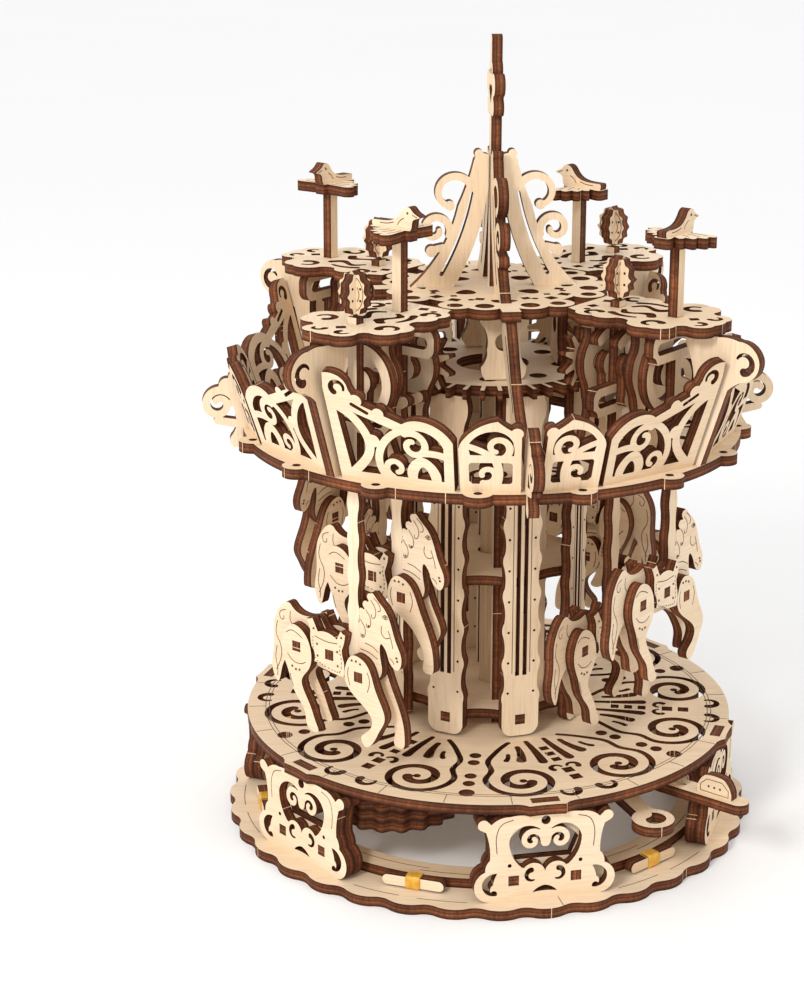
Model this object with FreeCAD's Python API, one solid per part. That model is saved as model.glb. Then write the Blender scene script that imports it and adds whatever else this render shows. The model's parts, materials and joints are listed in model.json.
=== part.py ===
import FreeCAD, Part
import math
import os

# Tabletop carousel of laser-cut plywood, millimetres, +Z up.
# Origin: centre of the flat underside of the base ring.  Azimuths are degrees
# counter-clockwise from +X.  Sheets are drawn flat, cut out, then stood up.

V = FreeCAD.Vector

# ---------------------------------------------------------------- driving sizes
SHEET = 4.0                 # plywood thickness
BASE_RADIUS = 103.0         # mean radius of the rippled base ring
BASE_BORE = 78.0            # open middle of the base ring
DECK_RADIUS = 96.7          # fixed deck that the column stands on
DECK_HEIGHT = 38.5          # underside of the deck
COLUMN_RADIUS = 38.0        # outside of the eight column plates
FLOOR_RADIUS = 96.5         # turning canopy floor
FLOOR_BORE = 44.0
FLOOR_HEIGHT = 156.5        # underside of the canopy floor
ROOF_HEIGHT = 210.0         # underside of the top plate and petals
CROWN_HEIGHT = 266.0        # top of the four crown fins
TOTAL_HEIGHT = 310.0        # tip of the finial
INNER_POLE = 57.0           # radius of the inner ring of poles
OUTER_POLE = 82.0           # radius of the outer ring of poles
STROKE = 24.0               # rise of each horse
HORSE_LOW = 55.0            # height of the hooves of a low horse
PANEL_LEAN = 17.6           # outward lean of the rail panels, degrees

# azimuths
BRACKET_AZ = -77.0          # first of six side brackets
COLUMN_AZ = -116.1          # first of eight column plates
FIN_AZ = -81.5              # first of four tall fins
PAIR_AZ = -126.5            # first of four horse pairs

# counts
BRACKETS = 6
COLUMNS = 8
SIDES = 4                   # the canopy repeats four times
BASE_RIPPLES = 36
FLOOR_LOBES = 16
DECK_SCROLLS = 12

# clearances and fits
RUN_FIT = 0.05              # radial clearance of a turning fit
GAP = 0.4                   # free space between bodies that pass each other
POLE_GAP = 0.3              # each side of a pole in its guide hole

# parts of the mechanism
SHAFT_RADIUS = 4.0
SHAFT_FOOT = 16.0
COLLAR_RADIUS = 12.0
AXLE_HEIGHT = 192.0         # crankshaft axis
AXLE_SIDE = 4.0             # square crankshaft
AXLE_PIN = 2.5              # round pin that the drum turns on
LEVER_PIN = 2.0             # round pins that the levers turn on
JOURNAL_RADIUS = 3.2
THROW = STROKE / 2
PIN_RADIUS = 2.0
RING_TEETH = 40
PINION_TEETH = 10
RING_PITCH = 40.0           # pitch radius of the crown ring
PINION_PITCH = RING_PITCH * PINION_TEETH / RING_TEETH
TOOTH = 1.6                 # width of a peg tooth at its tip
DRUM_TEETH = 20
DRIVE_TEETH = 28
LOBE_MODULE = 2.5
LOBE_HEIGHT = 1.0
DRUM_PITCH = DRUM_TEETH * LOBE_MODULE / 2
DRIVE_PITCH = DRIVE_TEETH * LOBE_MODULE / 2
MESH_GAP = 0.7
DRUM_AZ = -126.0
DRUM_DISTANCE = DRUM_PITCH + DRIVE_PITCH + MESH_GAP
DRUM_LAYERS = 4
DRUM_SPACE = 2.5            # under the deck
DRUM_FOOT = DECK_HEIGHT - DRUM_SPACE - DRUM_LAYERS * SHEET

# small features
POLE_WIDTH = 4.6
POLE_WAVE = 0.5
POST_SIDE = 4.0
HORSE_SHIFT = 9.0           # from a horse's middle forward to its pole
PEG_SIDE = 4.0
PEG_FIT = 0.03              # each side of a peg in its square hole
TOPPER_CLEAR = 2.4          # between the roof and a topper at its lowest

DECK_TOP = DECK_HEIGHT + SHEET
FLOOR_TOP = FLOOR_HEIGHT + SHEET
ROOF_TOP = ROOF_HEIGHT + SHEET
RAISED_TOP = 2 * SHEET
BRACKET_FACE = BASE_RADIUS - 7.0
RING_SPACE = 0.5            # between the brackets and the second base ring
RAISED_OUTER = BRACKET_FACE - 2 * SHEET - RING_SPACE
PINION_TIP = PINION_PITCH + 2.0
RING_HEIGHT = AXLE_HEIGHT - PINION_TIP - 0.5


# ---------------------------------------------------------------- flat drawing
def polar(radius, azimuth, height=0.0):
    angle = math.radians(azimuth)
    return V(radius * math.cos(angle), radius * math.sin(angle), height)


def disc(x, y, radius):
    return Part.Wire([Part.Circle(V(x, y, 0), V(0, 0, 1), radius).toShape()])


def box(x, y, width, height):
    half_w, half_h = width / 2, height / 2
    corners = [(x - half_w, y - half_h), (x + half_w, y - half_h),
               (x + half_w, y + half_h), (x - half_w, y + half_h)]
    return outline(corners)


def outline(points):
    """Closed wire; a third value is the bulge of the side that starts there."""
    edges = []
    count = len(points)
    for index in range(count):
        here = points[index]
        there = points[(index + 1) % count]
        start = V(here[0], here[1], 0)
        end = V(there[0], there[1], 0)
        bulge = here[2] if len(here) > 2 else 0.0
        if bulge == 0.0:
            edges.append(Part.makeLine(start, end))
            continue
        middle = (start + end) * 0.5
        side = V(end.y - start.y, start.x - end.x, 0) * (bulge / 2)
        edges.append(Part.Arc(start, middle + side, end).toShape())
    return Part.Wire(edges)


def smooth(points):
    """Closed smooth wire through a few points."""
    curve = Part.BSplineCurve()
    curve.interpolate([V(x, y, 0) for x, y in points], PeriodicFlag=True)
    return Part.Wire([curve.toShape()])


def stroke(path, start_half, end_half):
    """Closed wire along an open path, round at both ends and evenly tapered."""
    left, right = [], []
    last = len(path) - 1
    for index, (x, y) in enumerate(path):
        before = path[max(index - 1, 0)]
        after = path[min(index + 1, last)]
        dx, dy = after[0] - before[0], after[1] - before[1]
        length = math.hypot(dx, dy)
        half = start_half + (end_half - start_half) * index / last
        nx, ny = -dy / length * half, dx / length * half
        left.append(V(x + nx, y + ny, 0))
        right.append(V(x - nx, y - ny, 0))

    def cap(tip, behind, half):
        dx, dy = tip[0] - behind[0], tip[1] - behind[1]
        length = math.hypot(dx, dy)
        return V(tip[0] + dx / length * half, tip[1] + dy / length * half, 0)

    def side(points):
        if len(points) == 2:
            return Part.makeLine(points[0], points[1])
        curve = Part.BSplineCurve()
        curve.interpolate(points)
        return curve.toShape()

    end_tip = cap(path[-1], path[-2], end_half)
    start_tip = cap(path[0], path[1], start_half)
    return Part.Wire([
        side(left),
        Part.Arc(left[-1], end_tip, right[-1]).toShape(),
        side(right[::-1]),
        Part.Arc(right[0], start_tip, left[0]).toShape()])


def spiral(x, y, outer, inner, start, sweep, step=30.0):
    """Centre line of a scroll, from its outer end inwards; negative sweep is clockwise."""
    count = max(4, round(abs(sweep) / step))
    path = []
    for index in range(count + 1):
        share = index / count
        radius = outer + (inner - outer) * share
        angle = math.radians(start + sweep * share)
        path.append((x + radius * math.cos(angle), y + radius * math.sin(angle)))
    return path


def arc_path(x, y, radius, start, sweep, step=20.0):
    return spiral(x, y, radius, radius, start, sweep, step)


def mirrored(wire):
    return wire.mirror(V(0, 0, 0), V(1, 0, 0))


def turned(wire, angle):
    copy = wire.copy()
    copy.rotate(V(0, 0, 0), V(0, 0, 1), angle)
    return copy


def prism(wire, thickness=SHEET):
    face = Part.makeFace([wire], "Part::FaceMakerBullseye")
    solid = face.extrude(V(0, 0, thickness))
    return solid.Solids[0] if solid.Solids else solid


def biggest(shape):
    return max(shape.Solids, key=lambda solid: solid.Volume)


def joined(solids):
    if len(solids) == 1:
        return solids[0]
    return biggest(solids[0].multiFuse(solids[1:]).removeSplitter())


def sheet(outers, cuts=(), adds=(), holes=(), thickness=SHEET):
    """One plywood piece: outlines joined, openings cut, bars and curls added, last holes cut."""
    body = joined([prism(wire, thickness) for wire in outers])
    if cuts:
        body = body.cut([prism(wire, thickness) for wire in cuts])
    if adds:
        body = joined([biggest(body)] + [prism(wire, thickness) for wire in adds])
    if holes:
        body = body.cut([prism(wire, thickness) for wire in holes])
    return biggest(body.removeSplitter())


def lobed_ring(radius, lobes, height, share=0.7, phase=0.0):
    """Wire of outward lobes joined by short hollows."""
    step = 360.0 / lobes
    edges = []
    for index in range(lobes):
        middle = phase + index * step
        rise = middle - step * share / 2
        fall = middle + step * share / 2
        edges.append(Part.Arc(polar(radius, rise), polar(radius + height, middle),
                              polar(radius, fall)).toShape())
        hollow = middle + step / 2
        edges.append(Part.Arc(polar(radius, fall), polar(radius - height * 0.35, hollow),
                              polar(radius, rise + step)).toShape())
    return Part.Wire(edges)


def wave_gear(pitch, teeth, height, phase=0.0):
    """Smooth gear outline whose edge is a cosine wave."""
    points = []
    per_tooth = 6
    for index in range(teeth * per_tooth):
        angle = 360.0 * index / (teeth * per_tooth)
        radius = pitch + height * math.cos(math.radians((angle - phase) * teeth))
        where = polar(radius, angle)
        points.append((where.x, where.y))
    return smooth(points)


# ---------------------------------------------------------------- placing
def placed(solid, origin, right, up):
    """Put a flat-drawn solid: its x along right, its y along up."""
    copy = solid.copy()
    turn = FreeCAD.Rotation(right, up, right.cross(up), "XYZ")
    copy.Placement = FreeCAD.Placement(origin, turn).multiply(solid.Placement)
    return copy


def level(solid, height, azimuth=0.0, radius=0.0):
    """Lay a sheet level, its x pointing outwards at an azimuth."""
    out = polar(1.0, azimuth)
    side = polar(1.0, azimuth + 90)
    return placed(solid, polar(radius, azimuth, height), out, side)


def facing(solid, azimuth, radius, height, lean=0.0):
    """Stand a sheet facing outwards, its back at a radius, leaning outwards."""
    right = polar(1.0, azimuth + 90)
    tilt = math.radians(lean)
    up = polar(math.sin(tilt), azimuth, math.cos(tilt))
    return placed(solid, polar(radius, azimuth, height), right, up)


def radial(solid, azimuth, thickness=SHEET):
    """Stand a sheet in the plane of the axis: x outwards, y up, centred on the azimuth."""
    out = polar(1.0, azimuth)
    start = polar(1.0, azimuth + 90) * (thickness / 2)
    return placed(solid, start, out, V(0, 0, 1))


def round_bar(azimuth, start, end, height, radius):
    return Part.makeCylinder(radius, end - start, polar(start, azimuth, height), polar(1.0, azimuth))


def upright(radius, x, y, foot, top):
    return Part.makeCylinder(radius, top - foot, V(x, y, foot))


def export(name, solids):
    solids = list(solids)
    shape = solids[0] if len(solids) == 1 else Part.makeCompound(solids)
    if not shape.isValid():
        print("not valid:", name)
    shape.exportStep("parts/" + name + ".step")
    print(name, len(solids), "solids,", round(sum(s.Volume for s in solids)), "mm3")


def around(count, first):
    return [first + 360.0 * index / count for index in range(count)]


# ---------------------------------------------------------------- base
def base_ring():
    edge = lobed_ring(BASE_RADIUS, BASE_RIPPLES, 1.6, phase=BRACKET_AZ)
    return level(sheet([edge], [disc(0, 0, BASE_BORE)]), 0.0)


def raised_ring():
    return level(sheet([disc(0, 0, RAISED_OUTER)], [disc(0, 0, BASE_BORE)]), SHEET)


BRACKET_FOOT = SHEET
BRACKET_RISE = DECK_HEIGHT - BRACKET_FOOT
TAB_WIDTH = 10.5
PEG_SPREAD = 11.8           # pegs each side of a bracket's middle
PEG_RISE = 8.0              # above the bracket's foot


def bracket_outlines(with_tab):
    top = BRACKET_RISE
    tab = top + SHEET if with_tab else top
    body = outline([(-21, 0), (21, 0), (22.5, 12, 0.25), (20.8, 17, -0.1), (22.3, 28, 0.35),
                    (13.5, top - 0.8, 0.12), (TAB_WIDTH / 2, top - 1.2), (TAB_WIDTH / 2, tab),
                    (-TAB_WIDTH / 2, tab), (-TAB_WIDTH / 2, top - 1.2, 0.12), (-13.5, top - 0.8, 0.35),
                    (-22.3, 28, -0.1), (-20.8, 17, 0.25), (-22.5, 12)])
    wires = [body]
    for side in (-1, 1):
        wires.append(disc(side * 20.3, 6.4, 6.4))
        wires.append(stroke([(side * 20.5, 29.0), (side * 23.4, 31.2)], 1.6, 2.1))
    return wires


def bracket_front():
    top = BRACKET_RISE
    heart = outline([(0, top - 9.5, -0.75), (13.7, top - 10.5, -0.22), (8.8, 13.0, 0), (0, 11.0, 0),
                     (-8.8, 13.0, -0.22), (-13.7, top - 10.5, -0.75)])
    cuts = [heart, disc(0, top - 3.1, 1.75)]
    adds = [disc(0, top - 3.1, 3.1)]
    for side in (-1, 1):
        curl = spiral(5.2, 23.6, 4.5, 1.0, 190, -400, 40)
        scroll = stroke(curl, 1.15, 0.9)
        stem = stroke([(0.4, 22.0), (1.2, 27.0), (0.8, top - 5.2)], 1.1, 1.1)
        bump = disc(4.4, 10.0, 4.5)
        flip = (lambda wire: wire) if side == 1 else mirrored
        adds += [flip(scroll), flip(stem), flip(bump)]
    body = sheet(bracket_outlines(True), cuts, adds)
    holes = [disc(0, top - 3.1, 1.75),
             outline([(-4.7, 2.6, -0.2), (0, 5.3, -0.2), (4.7, 2.6, 0.1)])]
    for side in (-1, 1):
        flip = (lambda wire: wire) if side == 1 else mirrored
        comma = stroke(arc_path(4.9, 9.6, 2.1, 250, 190, 30), 0.35, 1.1)
        drop = outline([(18.0, 11.5, -0.35), (23.6, 8.2, -0.55), (18.2, 2.6, -1.0), (20.4, 4.0, 0.4),
                        (19.6, 7.0, 0.1)])
        holes += [flip(comma), flip(drop), box(side * PEG_SPREAD, PEG_RISE, PEG_SIDE, PEG_SIDE),
                  disc(side * 13.4, 14.2, 0.75)]
    return biggest(body.cut([prism(hole) for hole in holes]))


def bracket_back():
    holes = [outline([(-10.5, 14.5), (10.5, 14.5), (13.5, 22, 0.5), (-13.5, 22)])]
    holes += [box(side * PEG_SPREAD, PEG_RISE, PEG_SIDE, PEG_SIDE) for side in (-1, 1)]
    return sheet(bracket_outlines(False), holes)


def side_brackets():
    flat = bracket_front()
    return [facing(flat, az, BRACKET_FACE - SHEET, BRACKET_FOOT) for az in around(BRACKETS, BRACKET_AZ)]


def bracket_backs():
    flat = bracket_back()
    inner_face = BRACKET_FACE - 2 * SHEET
    return [facing(flat, az, inner_face, BRACKET_FOOT) for az in around(BRACKETS, BRACKET_AZ)]


def peg_outline(x, y):
    return box(x, y, PEG_SIDE - 2 * PEG_FIT, PEG_SIDE - 2 * PEG_FIT)


def bracket_pegs():
    pegs = []
    for az in around(BRACKETS, BRACKET_AZ):
        for side in (-1, 1):
            flat = prism(peg_outline(side * PEG_SPREAD, PEG_RISE), 2 * SHEET)
            pegs.append(facing(flat, az, BRACKET_FACE - 2 * SHEET, BRACKET_FOOT))
    return pegs


TOGGLE_LENGTH = 24.0
TOGGLE_RADIUS = RAISED_OUTER + 0.6
BAND_WIDTH = 6.0
BAND_THICKNESS = 0.8


def band_toggles():
    half = TOGGLE_LENGTH / 2 - SHEET / 2
    flat = sheet([stroke([(-half, SHEET / 2), (half, SHEET / 2)], SHEET / 2, SHEET / 2)])
    spots = around(BRACKETS, BRACKET_AZ + 180 / BRACKETS)
    return [facing(flat, az, TOGGLE_RADIUS + BAND_THICKNESS, SHEET + BAND_THICKNESS) for az in spots]


def toggle_bands():
    outside = box(0, SHEET / 2, BAND_THICKNESS * 2 + SHEET, BAND_THICKNESS * 2 + SHEET)
    inside = box(0, SHEET / 2, SHEET, SHEET)
    loop = sheet([outside], [inside], thickness=BAND_WIDTH)
    bands = []
    for az in around(BRACKETS, BRACKET_AZ + 180 / BRACKETS):
        along = polar(1.0, az + 90)
        middle = TOGGLE_RADIUS + BAND_THICKNESS + SHEET / 2
        start = polar(middle, az, SHEET + BAND_THICKNESS) - along * (BAND_WIDTH / 2)
        bands.append(placed(loop, start, polar(1.0, az), V(0, 0, 1)))
    return bands


# ---------------------------------------------------------------- deck
COLUMN_HOLE = SHAFT_RADIUS + 2.0
TAB_EDGE = BRACKET_FACE + 2.6   # deck's rim outside a bracket's tab
SCROLL_PLACE = 77.0         # radius of the middle of each deck scroll


def scroll_tail(outer_x, outer_y):
    """Centre line of the long root that leads from the column side into a scroll."""
    return [(42.6, 0.4), (47.0, -3.4), (53.0, -7.4), (59.4, -10.4), (outer_x, outer_y)]


def deck_cuts():
    """Scrolls with long roots, slats, rows of squares and rings, in mirrored pairs round the deck."""
    cuts = []
    step = 360.0 / DECK_SCROLLS
    scroll = spiral(SCROLL_PLACE, 0, 14.6, 3.4, 225, 560, 28)
    roots = scroll_tail(scroll[0][0], scroll[0][1])
    for index in range(DECK_SCROLLS):
        az = BRACKET_AZ - 3 + index * step
        even = index % 2 == 0
        pattern = [
            stroke(roots[:-1] + scroll, 1.0, 2.0),
            stroke([(61.0, 10.6), (55.0, 9.8), (48.0, 8.6), (42.4, 7.4)], 1.9, 1.0),
            stroke([(59.0, 2.6), (53.6, 3.4), (47.0, 3.2)], 2.0, 1.1),
            stroke([(58.6, -3.2), (56.0, -2.0), (53.4, -1.6)], 1.1, 0.8),
            disc(SCROLL_PLACE, 0, 1.5),
            stroke(arc_path(87.6, 15.6, 3.2, -100, 210, 30), 0.7, 1.6),
            stroke(arc_path(67.4, 14.6, 2.2, 120, 200, 30), 0.6, 1.2),
        ]
        for wire in pattern:
            if not even:
                wire = wire.mirror(V(0, 0, 0), V(0, 1, 0))
            cuts.append(turned(wire, az))
        seam = az + step / 2
        if even:
            cuts += [turned(box(radius, 0, 4.2, 4.2), seam) for radius in (72.0, 78.4)]
            cuts += [turned(box(radius, 0, 3.2, 3.6), seam) for radius in (51.0, 56.4, 61.8)]
        else:
            cuts += [turned(disc(radius, 0, 2.3), seam) for radius in (72.4, 79.0, 54.0, 60.4)]
            cuts.append(turned(disc(87.0, 0, 3.0), seam))
    return cuts


def deck():
    rims = [disc(0, 0, DECK_RADIUS)]
    slots = []
    for az in around(BRACKETS, BRACKET_AZ):
        rims.append(turned(outline([(90, -10.5), (BRACKET_FACE + 0.2, -10.5, -0.15),
                                    (TAB_EDGE, -6.8, -0.06),
                                    (TAB_EDGE, 6.8, -0.15), (BRACKET_FACE + 0.2, 10.5), (90, 10.5)]), az))
        slots.append(turned(box(BRACKET_FACE - SHEET / 2, 0, SHEET + 2 * PEG_FIT,
                                TAB_WIDTH + 2 * PEG_FIT), az))
    whole = sheet(rims, slots + [disc(0, 0, COLUMN_HOLE)])
    openings = [prism(wire) for wire in deck_cuts()]
    return level(biggest(whole.cut(openings)), DECK_HEIGHT)


# ---------------------------------------------------------------- column
PLATE_WIDTH = 15.0
PLATE_FOOT = DECK_TOP + 0.8
COLUMN_DISCS = (48.0, 103.0, 150.0)
POST_RADIUS = 20.0


def column_edge(height):
    """One long wavy edge of a column plate, from the foot up."""
    points = []
    rise = 14.0
    level_now = rise
    while level_now < height - 1.0:
        points.append((PLATE_WIDTH / 2, level_now, 0.22))
        points.append((PLATE_WIDTH / 2 - 0.5, min(level_now + 5.0, height - 0.5), -0.12))
        level_now += rise
    return points


def column_plate():
    height = RING_HEIGHT - PLATE_FOOT
    right = column_edge(height)
    left = []
    for index in range(len(right) - 1, -1, -1):
        x, y = right[index][0], right[index][1]
        bulge = right[index - 1][2] if index > 0 else 0.0
        left.append((-x, y, bulge))
    half = PLATE_WIDTH / 2
    foot = [(-half, 4.0, 0.35), (-3.5, 0.0), (3.5, 0.0, 0.35), (half, 4.0)]
    body = outline(foot + right[:-1] + [(half, height), (-half, height)] + left[1:])
    top_gap = FLOOR_HEIGHT - PLATE_FOOT + 6.0
    slots = [box(side * 1.5, (top_gap + 25.0) / 2, 1.7, top_gap - 25.0) for side in (-1, 1)]
    peg_height = COLUMN_DISCS[0] + SHEET / 2 - PLATE_FOOT
    holes = [box(0, peg_height, PEG_SIDE + 2 * PEG_FIT, SHEET + 2 * PEG_FIT)]
    for row in range(8):
        for side in (-1, 1):
            holes.append(disc(side * 5.2, 18.0 + row * 12.5, 0.5))
    return sheet([body], slots + holes)


def column_plates():
    flat = column_plate()
    return [facing(flat, az, COLUMN_RADIUS - SHEET, PLATE_FOOT) for az in around(COLUMNS, COLUMN_AZ)]


def column_discs():
    discs = []
    inner = COLUMN_RADIUS - SHEET
    for index, height in enumerate(COLUMN_DISCS):
        rim = lobed_ring(inner - 2.5, COLUMNS, 2.4, 0.6, COLUMN_AZ)
        outers = [rim]
        if index == 0:
            for az in around(COLUMNS, COLUMN_AZ):
                outers.append(turned(box(inner, 0, 2 * SHEET, PEG_SIDE), az))
        bore = SHAFT_RADIUS + (RUN_FIT if index != 1 else 1.0)
        cuts = [disc(0, 0, bore)]
        for az in around(SIDES, FIN_AZ):
            cuts.append(turned(box(POST_RADIUS, 0, PEG_SIDE, PEG_SIDE), az))
        discs.append(level(sheet(outers, cuts), height))
    return discs


def column_posts():
    flat = prism(box(POST_RADIUS, 0, PEG_SIDE, PEG_SIDE), RING_HEIGHT - DECK_TOP)
    return [level(turned_solid(flat, az), DECK_TOP) for az in around(SIDES, FIN_AZ)]


def turned_solid(solid, azimuth):
    copy = solid.copy()
    copy.rotate(V(0, 0, 0), V(0, 0, 1), azimuth)
    return copy


def ring_gear():
    """Crown ring: radial peg teeth that the crankshaft pinions roll over."""
    root_radius = RING_PITCH - 4.0
    tip_radius = RING_PITCH + 2.5
    outers = [disc(0, 0, root_radius)]
    for az in around(RING_TEETH, PAIR_AZ + 180 / RING_TEETH):
        outers.append(turned(outline([(root_radius - 1, -TOOTH / 2), (tip_radius, -TOOTH / 2),
                                      (tip_radius, TOOTH / 2), (root_radius - 1, TOOTH / 2)]), az))
    cuts = [disc(0, 0, COLLAR_RADIUS + 2)]
    for az in around(COLUMNS, COLUMN_AZ + 22.5):
        cuts.append(turned(disc(26, 0, 3.4), az))
    return level(sheet(outers, cuts), RING_HEIGHT)


# ---------------------------------------------------------------- turning centre
def drive_shaft():
    return upright(SHAFT_RADIUS, 0, 0, SHAFT_FOOT, ROOF_HEIGHT)


def shaft_collar():
    foot = COLUMN_DISCS[-1] + SHEET + GAP
    rim = lobed_ring(COLLAR_RADIUS - 1.0, 8, 1.0)
    return level(sheet([rim], [disc(0, 0, SHAFT_RADIUS)]), foot)


GEAR_HEIGHT = 24.4


def drive_gear():
    phase = DRUM_AZ
    cuts = [disc(0, 0, SHAFT_RADIUS)]
    for az in around(6, phase):
        cuts.append(turned(disc(DRIVE_PITCH * 0.58, 0, 6.0), az))
    return level(sheet([wave_gear(DRIVE_PITCH, DRIVE_TEETH, LOBE_HEIGHT, phase)], cuts), GEAR_HEIGHT)


def drum():
    """Four lobed discs stacked on one axle."""
    discs = []
    half_tooth = 180.0 / DRUM_TEETH
    for layer in range(DRUM_LAYERS):
        rim = wave_gear(DRUM_PITCH, DRUM_TEETH, LOBE_HEIGHT, half_tooth)
        cuts = [disc(0, 0, AXLE_PIN + RUN_FIT)]
        if layer == DRUM_LAYERS - 1:
            cuts += [turned(disc(14, 0, 4.0), az) for az in around(5, 0)]
        discs.append(level(sheet([rim], cuts), DRUM_FOOT + layer * SHEET, DRUM_AZ + 180, 0))
    middle = polar(DRUM_DISTANCE, DRUM_AZ)
    for solid in discs:
        solid.translate(middle)
    return discs


# ---------------------------------------------------------------- canopy floor and rails
LOBE_RADIUS = 4.3
FLOOR_LOBE_AZ = 180.0 / FLOOR_LOBES


def guide_hole(radius, width, depth=SHEET):
    return box(radius, 0, depth + 2 * POLE_GAP, width + 2 * POLE_GAP)


def canopy_floor():
    outers = [disc(0, 0, FLOOR_RADIUS)]
    cuts = [disc(0, 0, FLOOR_BORE)]
    for az in around(FLOOR_LOBES, FIN_AZ + FLOOR_LOBE_AZ):
        outers.append(turned(disc(FLOOR_RADIUS - 1.2, 0, LOBE_RADIUS + 1.0), az))
        cuts.append(turned(disc(FLOOR_RADIUS - 1.2, 0, 1.6), az))
    for az in around(SIDES, PAIR_AZ):
        for radius in (INNER_POLE, OUTER_POLE):
            cuts.append(turned(guide_hole(radius, POLE_WIDTH + 2 * POLE_WAVE), az))
        for side in (-1, 1):
            cuts.append(turned(stroke([(50, side * 20), (66, side * 24), (78, side * 27)], 1.2, 2.6), az))
            cuts.append(turned(stroke(arc_path(70, side * 11, 3.5, 90, 200 * side, 30), 0.8, 1.5), az))
    for az in around(SIDES, FIN_AZ):
        for side in (-1, 1):
            cuts.append(turned(stroke(spiral(72, side * 11, 8.0, 2.0, 20 * side, 500 * side, 35), 1.0,
                                      1.3), az))
    return level(sheet(outers, cuts), FLOOR_HEIGHT)


RAIL_RADIUS = 94.5
SMALL_SPAN = 15.5           # azimuth where a small panel meets a large one
PANEL_GAP = 0.35


def rail_span(first, last):
    """Middle azimuth, half width and flat distance of a panel between two azimuths."""
    half = math.radians(last - first) / 2
    return (first + last) / 2, RAIL_RADIUS * math.sin(half), RAIL_RADIUS * math.cos(half)


def edge_azimuth():
    return math.degrees((SHEET / 2 + PANEL_GAP) / RAIL_RADIUS)


def small_panel(half):
    """Arched rail panel, drawn for the side clockwise of a fin; +x towards the fin."""
    flare = 0.8
    body = outline([(-half, 0), (half - 0.4, 0), (half - 0.4, 24.0, -0.1), (2.0, 29.5, 0.22),
                    (-half - flare + 1, 21.0, 0.1), (-half - flare, 18.0)])
    knob = disc(half - 2.0, 24.6, 2.2)
    upper = outline([(-half + 3.2, 15.6, 0.0), (half - 3.0, 15.4, 0.1), (half - 3.2, 20.6, 0.35),
                     (0.0, 25.4, 0.28), (-half + 2.4, 19.4)])
    lower = outline([(-half + 4.2, 3.6), (half - 4.6, 3.6, 0.4), (half - 3.4, 4.8),
                     (half - 3.4, 11.2, 0.4),
                     (half - 4.6, 12.4), (-half + 3.8, 12.4, 0.4), (-half + 2.8, 11.2),
                     (-half + 3.0, 4.8)])
    adds = [stroke(spiral(2.0, 18.6, 5.2, 1.7, -100, 350, 30), 1.4, 1.0),
            stroke([(-half + 1.4, 19.6), (-3.5, 17.2), (1.0, 14.4)], 1.2, 1.2),
            stroke(spiral(-1.6, 7.4, 3.6, 1.7, 250, 300, 30), 1.2, 1.0),
            stroke([(1.4, 13.4), (2.6, 8.4), (1.6, 2.2)], 1.5, 1.5)]
    return sheet([body, knob], [upper, lower], adds)


def large_panel(half):
    """Rail panel that rises to its board; +x is the tall end."""
    left, right = -half, half
    tall = 43.5
    body = outline([(left, 0), (right, 0), (right + 2.2, tall - 6.0), (right + 1.6, tall, 0.15),
                    (right - 3.4, tall - 0.4, 0.3), (right - 7.4, tall - 6.0, 0.1),
                    (right - 9.0, tall - 11.0),
                    (left + 17.0, 25.6, 0.15), (left + 11.5, 27.6, 0.3), (left - 1.6, 20.0)])
    opening = outline([(left + 3.4, 3.4), (right - 4.4, 3.4), (right - 1.8, tall - 14.6, 0.2),
                       (right - 3.4, tall - 13.4), (left + 17.6, 21.8, 0.1),
                       (left + 12.0, 23.6, 0.35), (left + 2.2, 17.4)])
    knobs = [disc(right - 17.6, 28.8, 2.2), disc(right - 9.6, 33.2, 2.4)]
    adds = [
        stroke(spiral(left + 13.6, 17.0, 5.6, 1.8, 60, 380, 30), 1.5, 1.1),
        stroke([(left + 0.8, 13.6), (left + 6.0, 14.6), (left + 10.0, 14.4)], 1.4, 1.4),
        stroke([(left + 6.8, 2.4), (left + 7.4, 7.8), (left + 10.8, 10.6),
                (left + 14.4, 7.8), (left + 14.6, 2.4)], 2.0, 2.0),
        stroke([(left + 18.4, 22.4), (left + 24.4, 17.6), (left + 27.4, 10.6), (left + 24.8, 2.0)], 1.4,
               1.5),
        stroke(spiral(left + 21.4, 6.8, 3.9, 1.7, -70, 320, 30), 1.2, 1.0),
        stroke([(right - 1.4, 30.4), (right - 10.6, 22.4), (right - 12.6, 13.4), (right - 8.4, 6.4),
                (right - 4.0, 2.0)], 1.7, 1.7),
        disc(right - 14.2, 17.2, 2.6),
    ]
    curl = stroke(arc_path(right - 3.4, tall - 5.6, 2.4, 200, -250, 30), 0.5, 1.2)
    window = box(left + 10.8, 5.8, 1.8, 4.8)
    slit = stroke([(right - 13.4, 28.6), (right - 8.0, 31.6)], 0.7, 0.7)
    return sheet([body] + knobs, [opening], adds, [curl, window, slit])


def rail_panels(make, first, last):
    """A panel and its mirror image on both sides of every fin."""
    offset, half, distance = rail_span(first, last)
    foot = FLOOR_TOP + SHEET * math.sin(math.radians(PANEL_LEAN))
    corner = SHEET * math.tan(math.radians(last - first) / 2)
    flat = make(half - PANEL_GAP - corner)
    other = flat.mirror(V(0, 0, 0), V(1, 0, 0))
    panels = []
    for az in around(SIDES, FIN_AZ):
        panels.append(facing(flat, az + offset, distance - SHEET, foot, PANEL_LEAN))
        panels.append(facing(other, az - offset, distance - SHEET, foot, PANEL_LEAN))
    return panels


def small_panels():
    def make(half):
        return small_panel(half).mirror(V(0, 0, 0), V(1, 0, 0))
    return rail_panels(make, edge_azimuth(), SMALL_SPAN)


def large_panels():
    return rail_panels(large_panel, SMALL_SPAN, 180 / SIDES - edge_azimuth())


def board_line(height):
    """Radius of the rails' outer face at a height above the canopy floor."""
    return RAIL_RADIUS + height * math.tan(math.radians(PANEL_LEAN))


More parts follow.
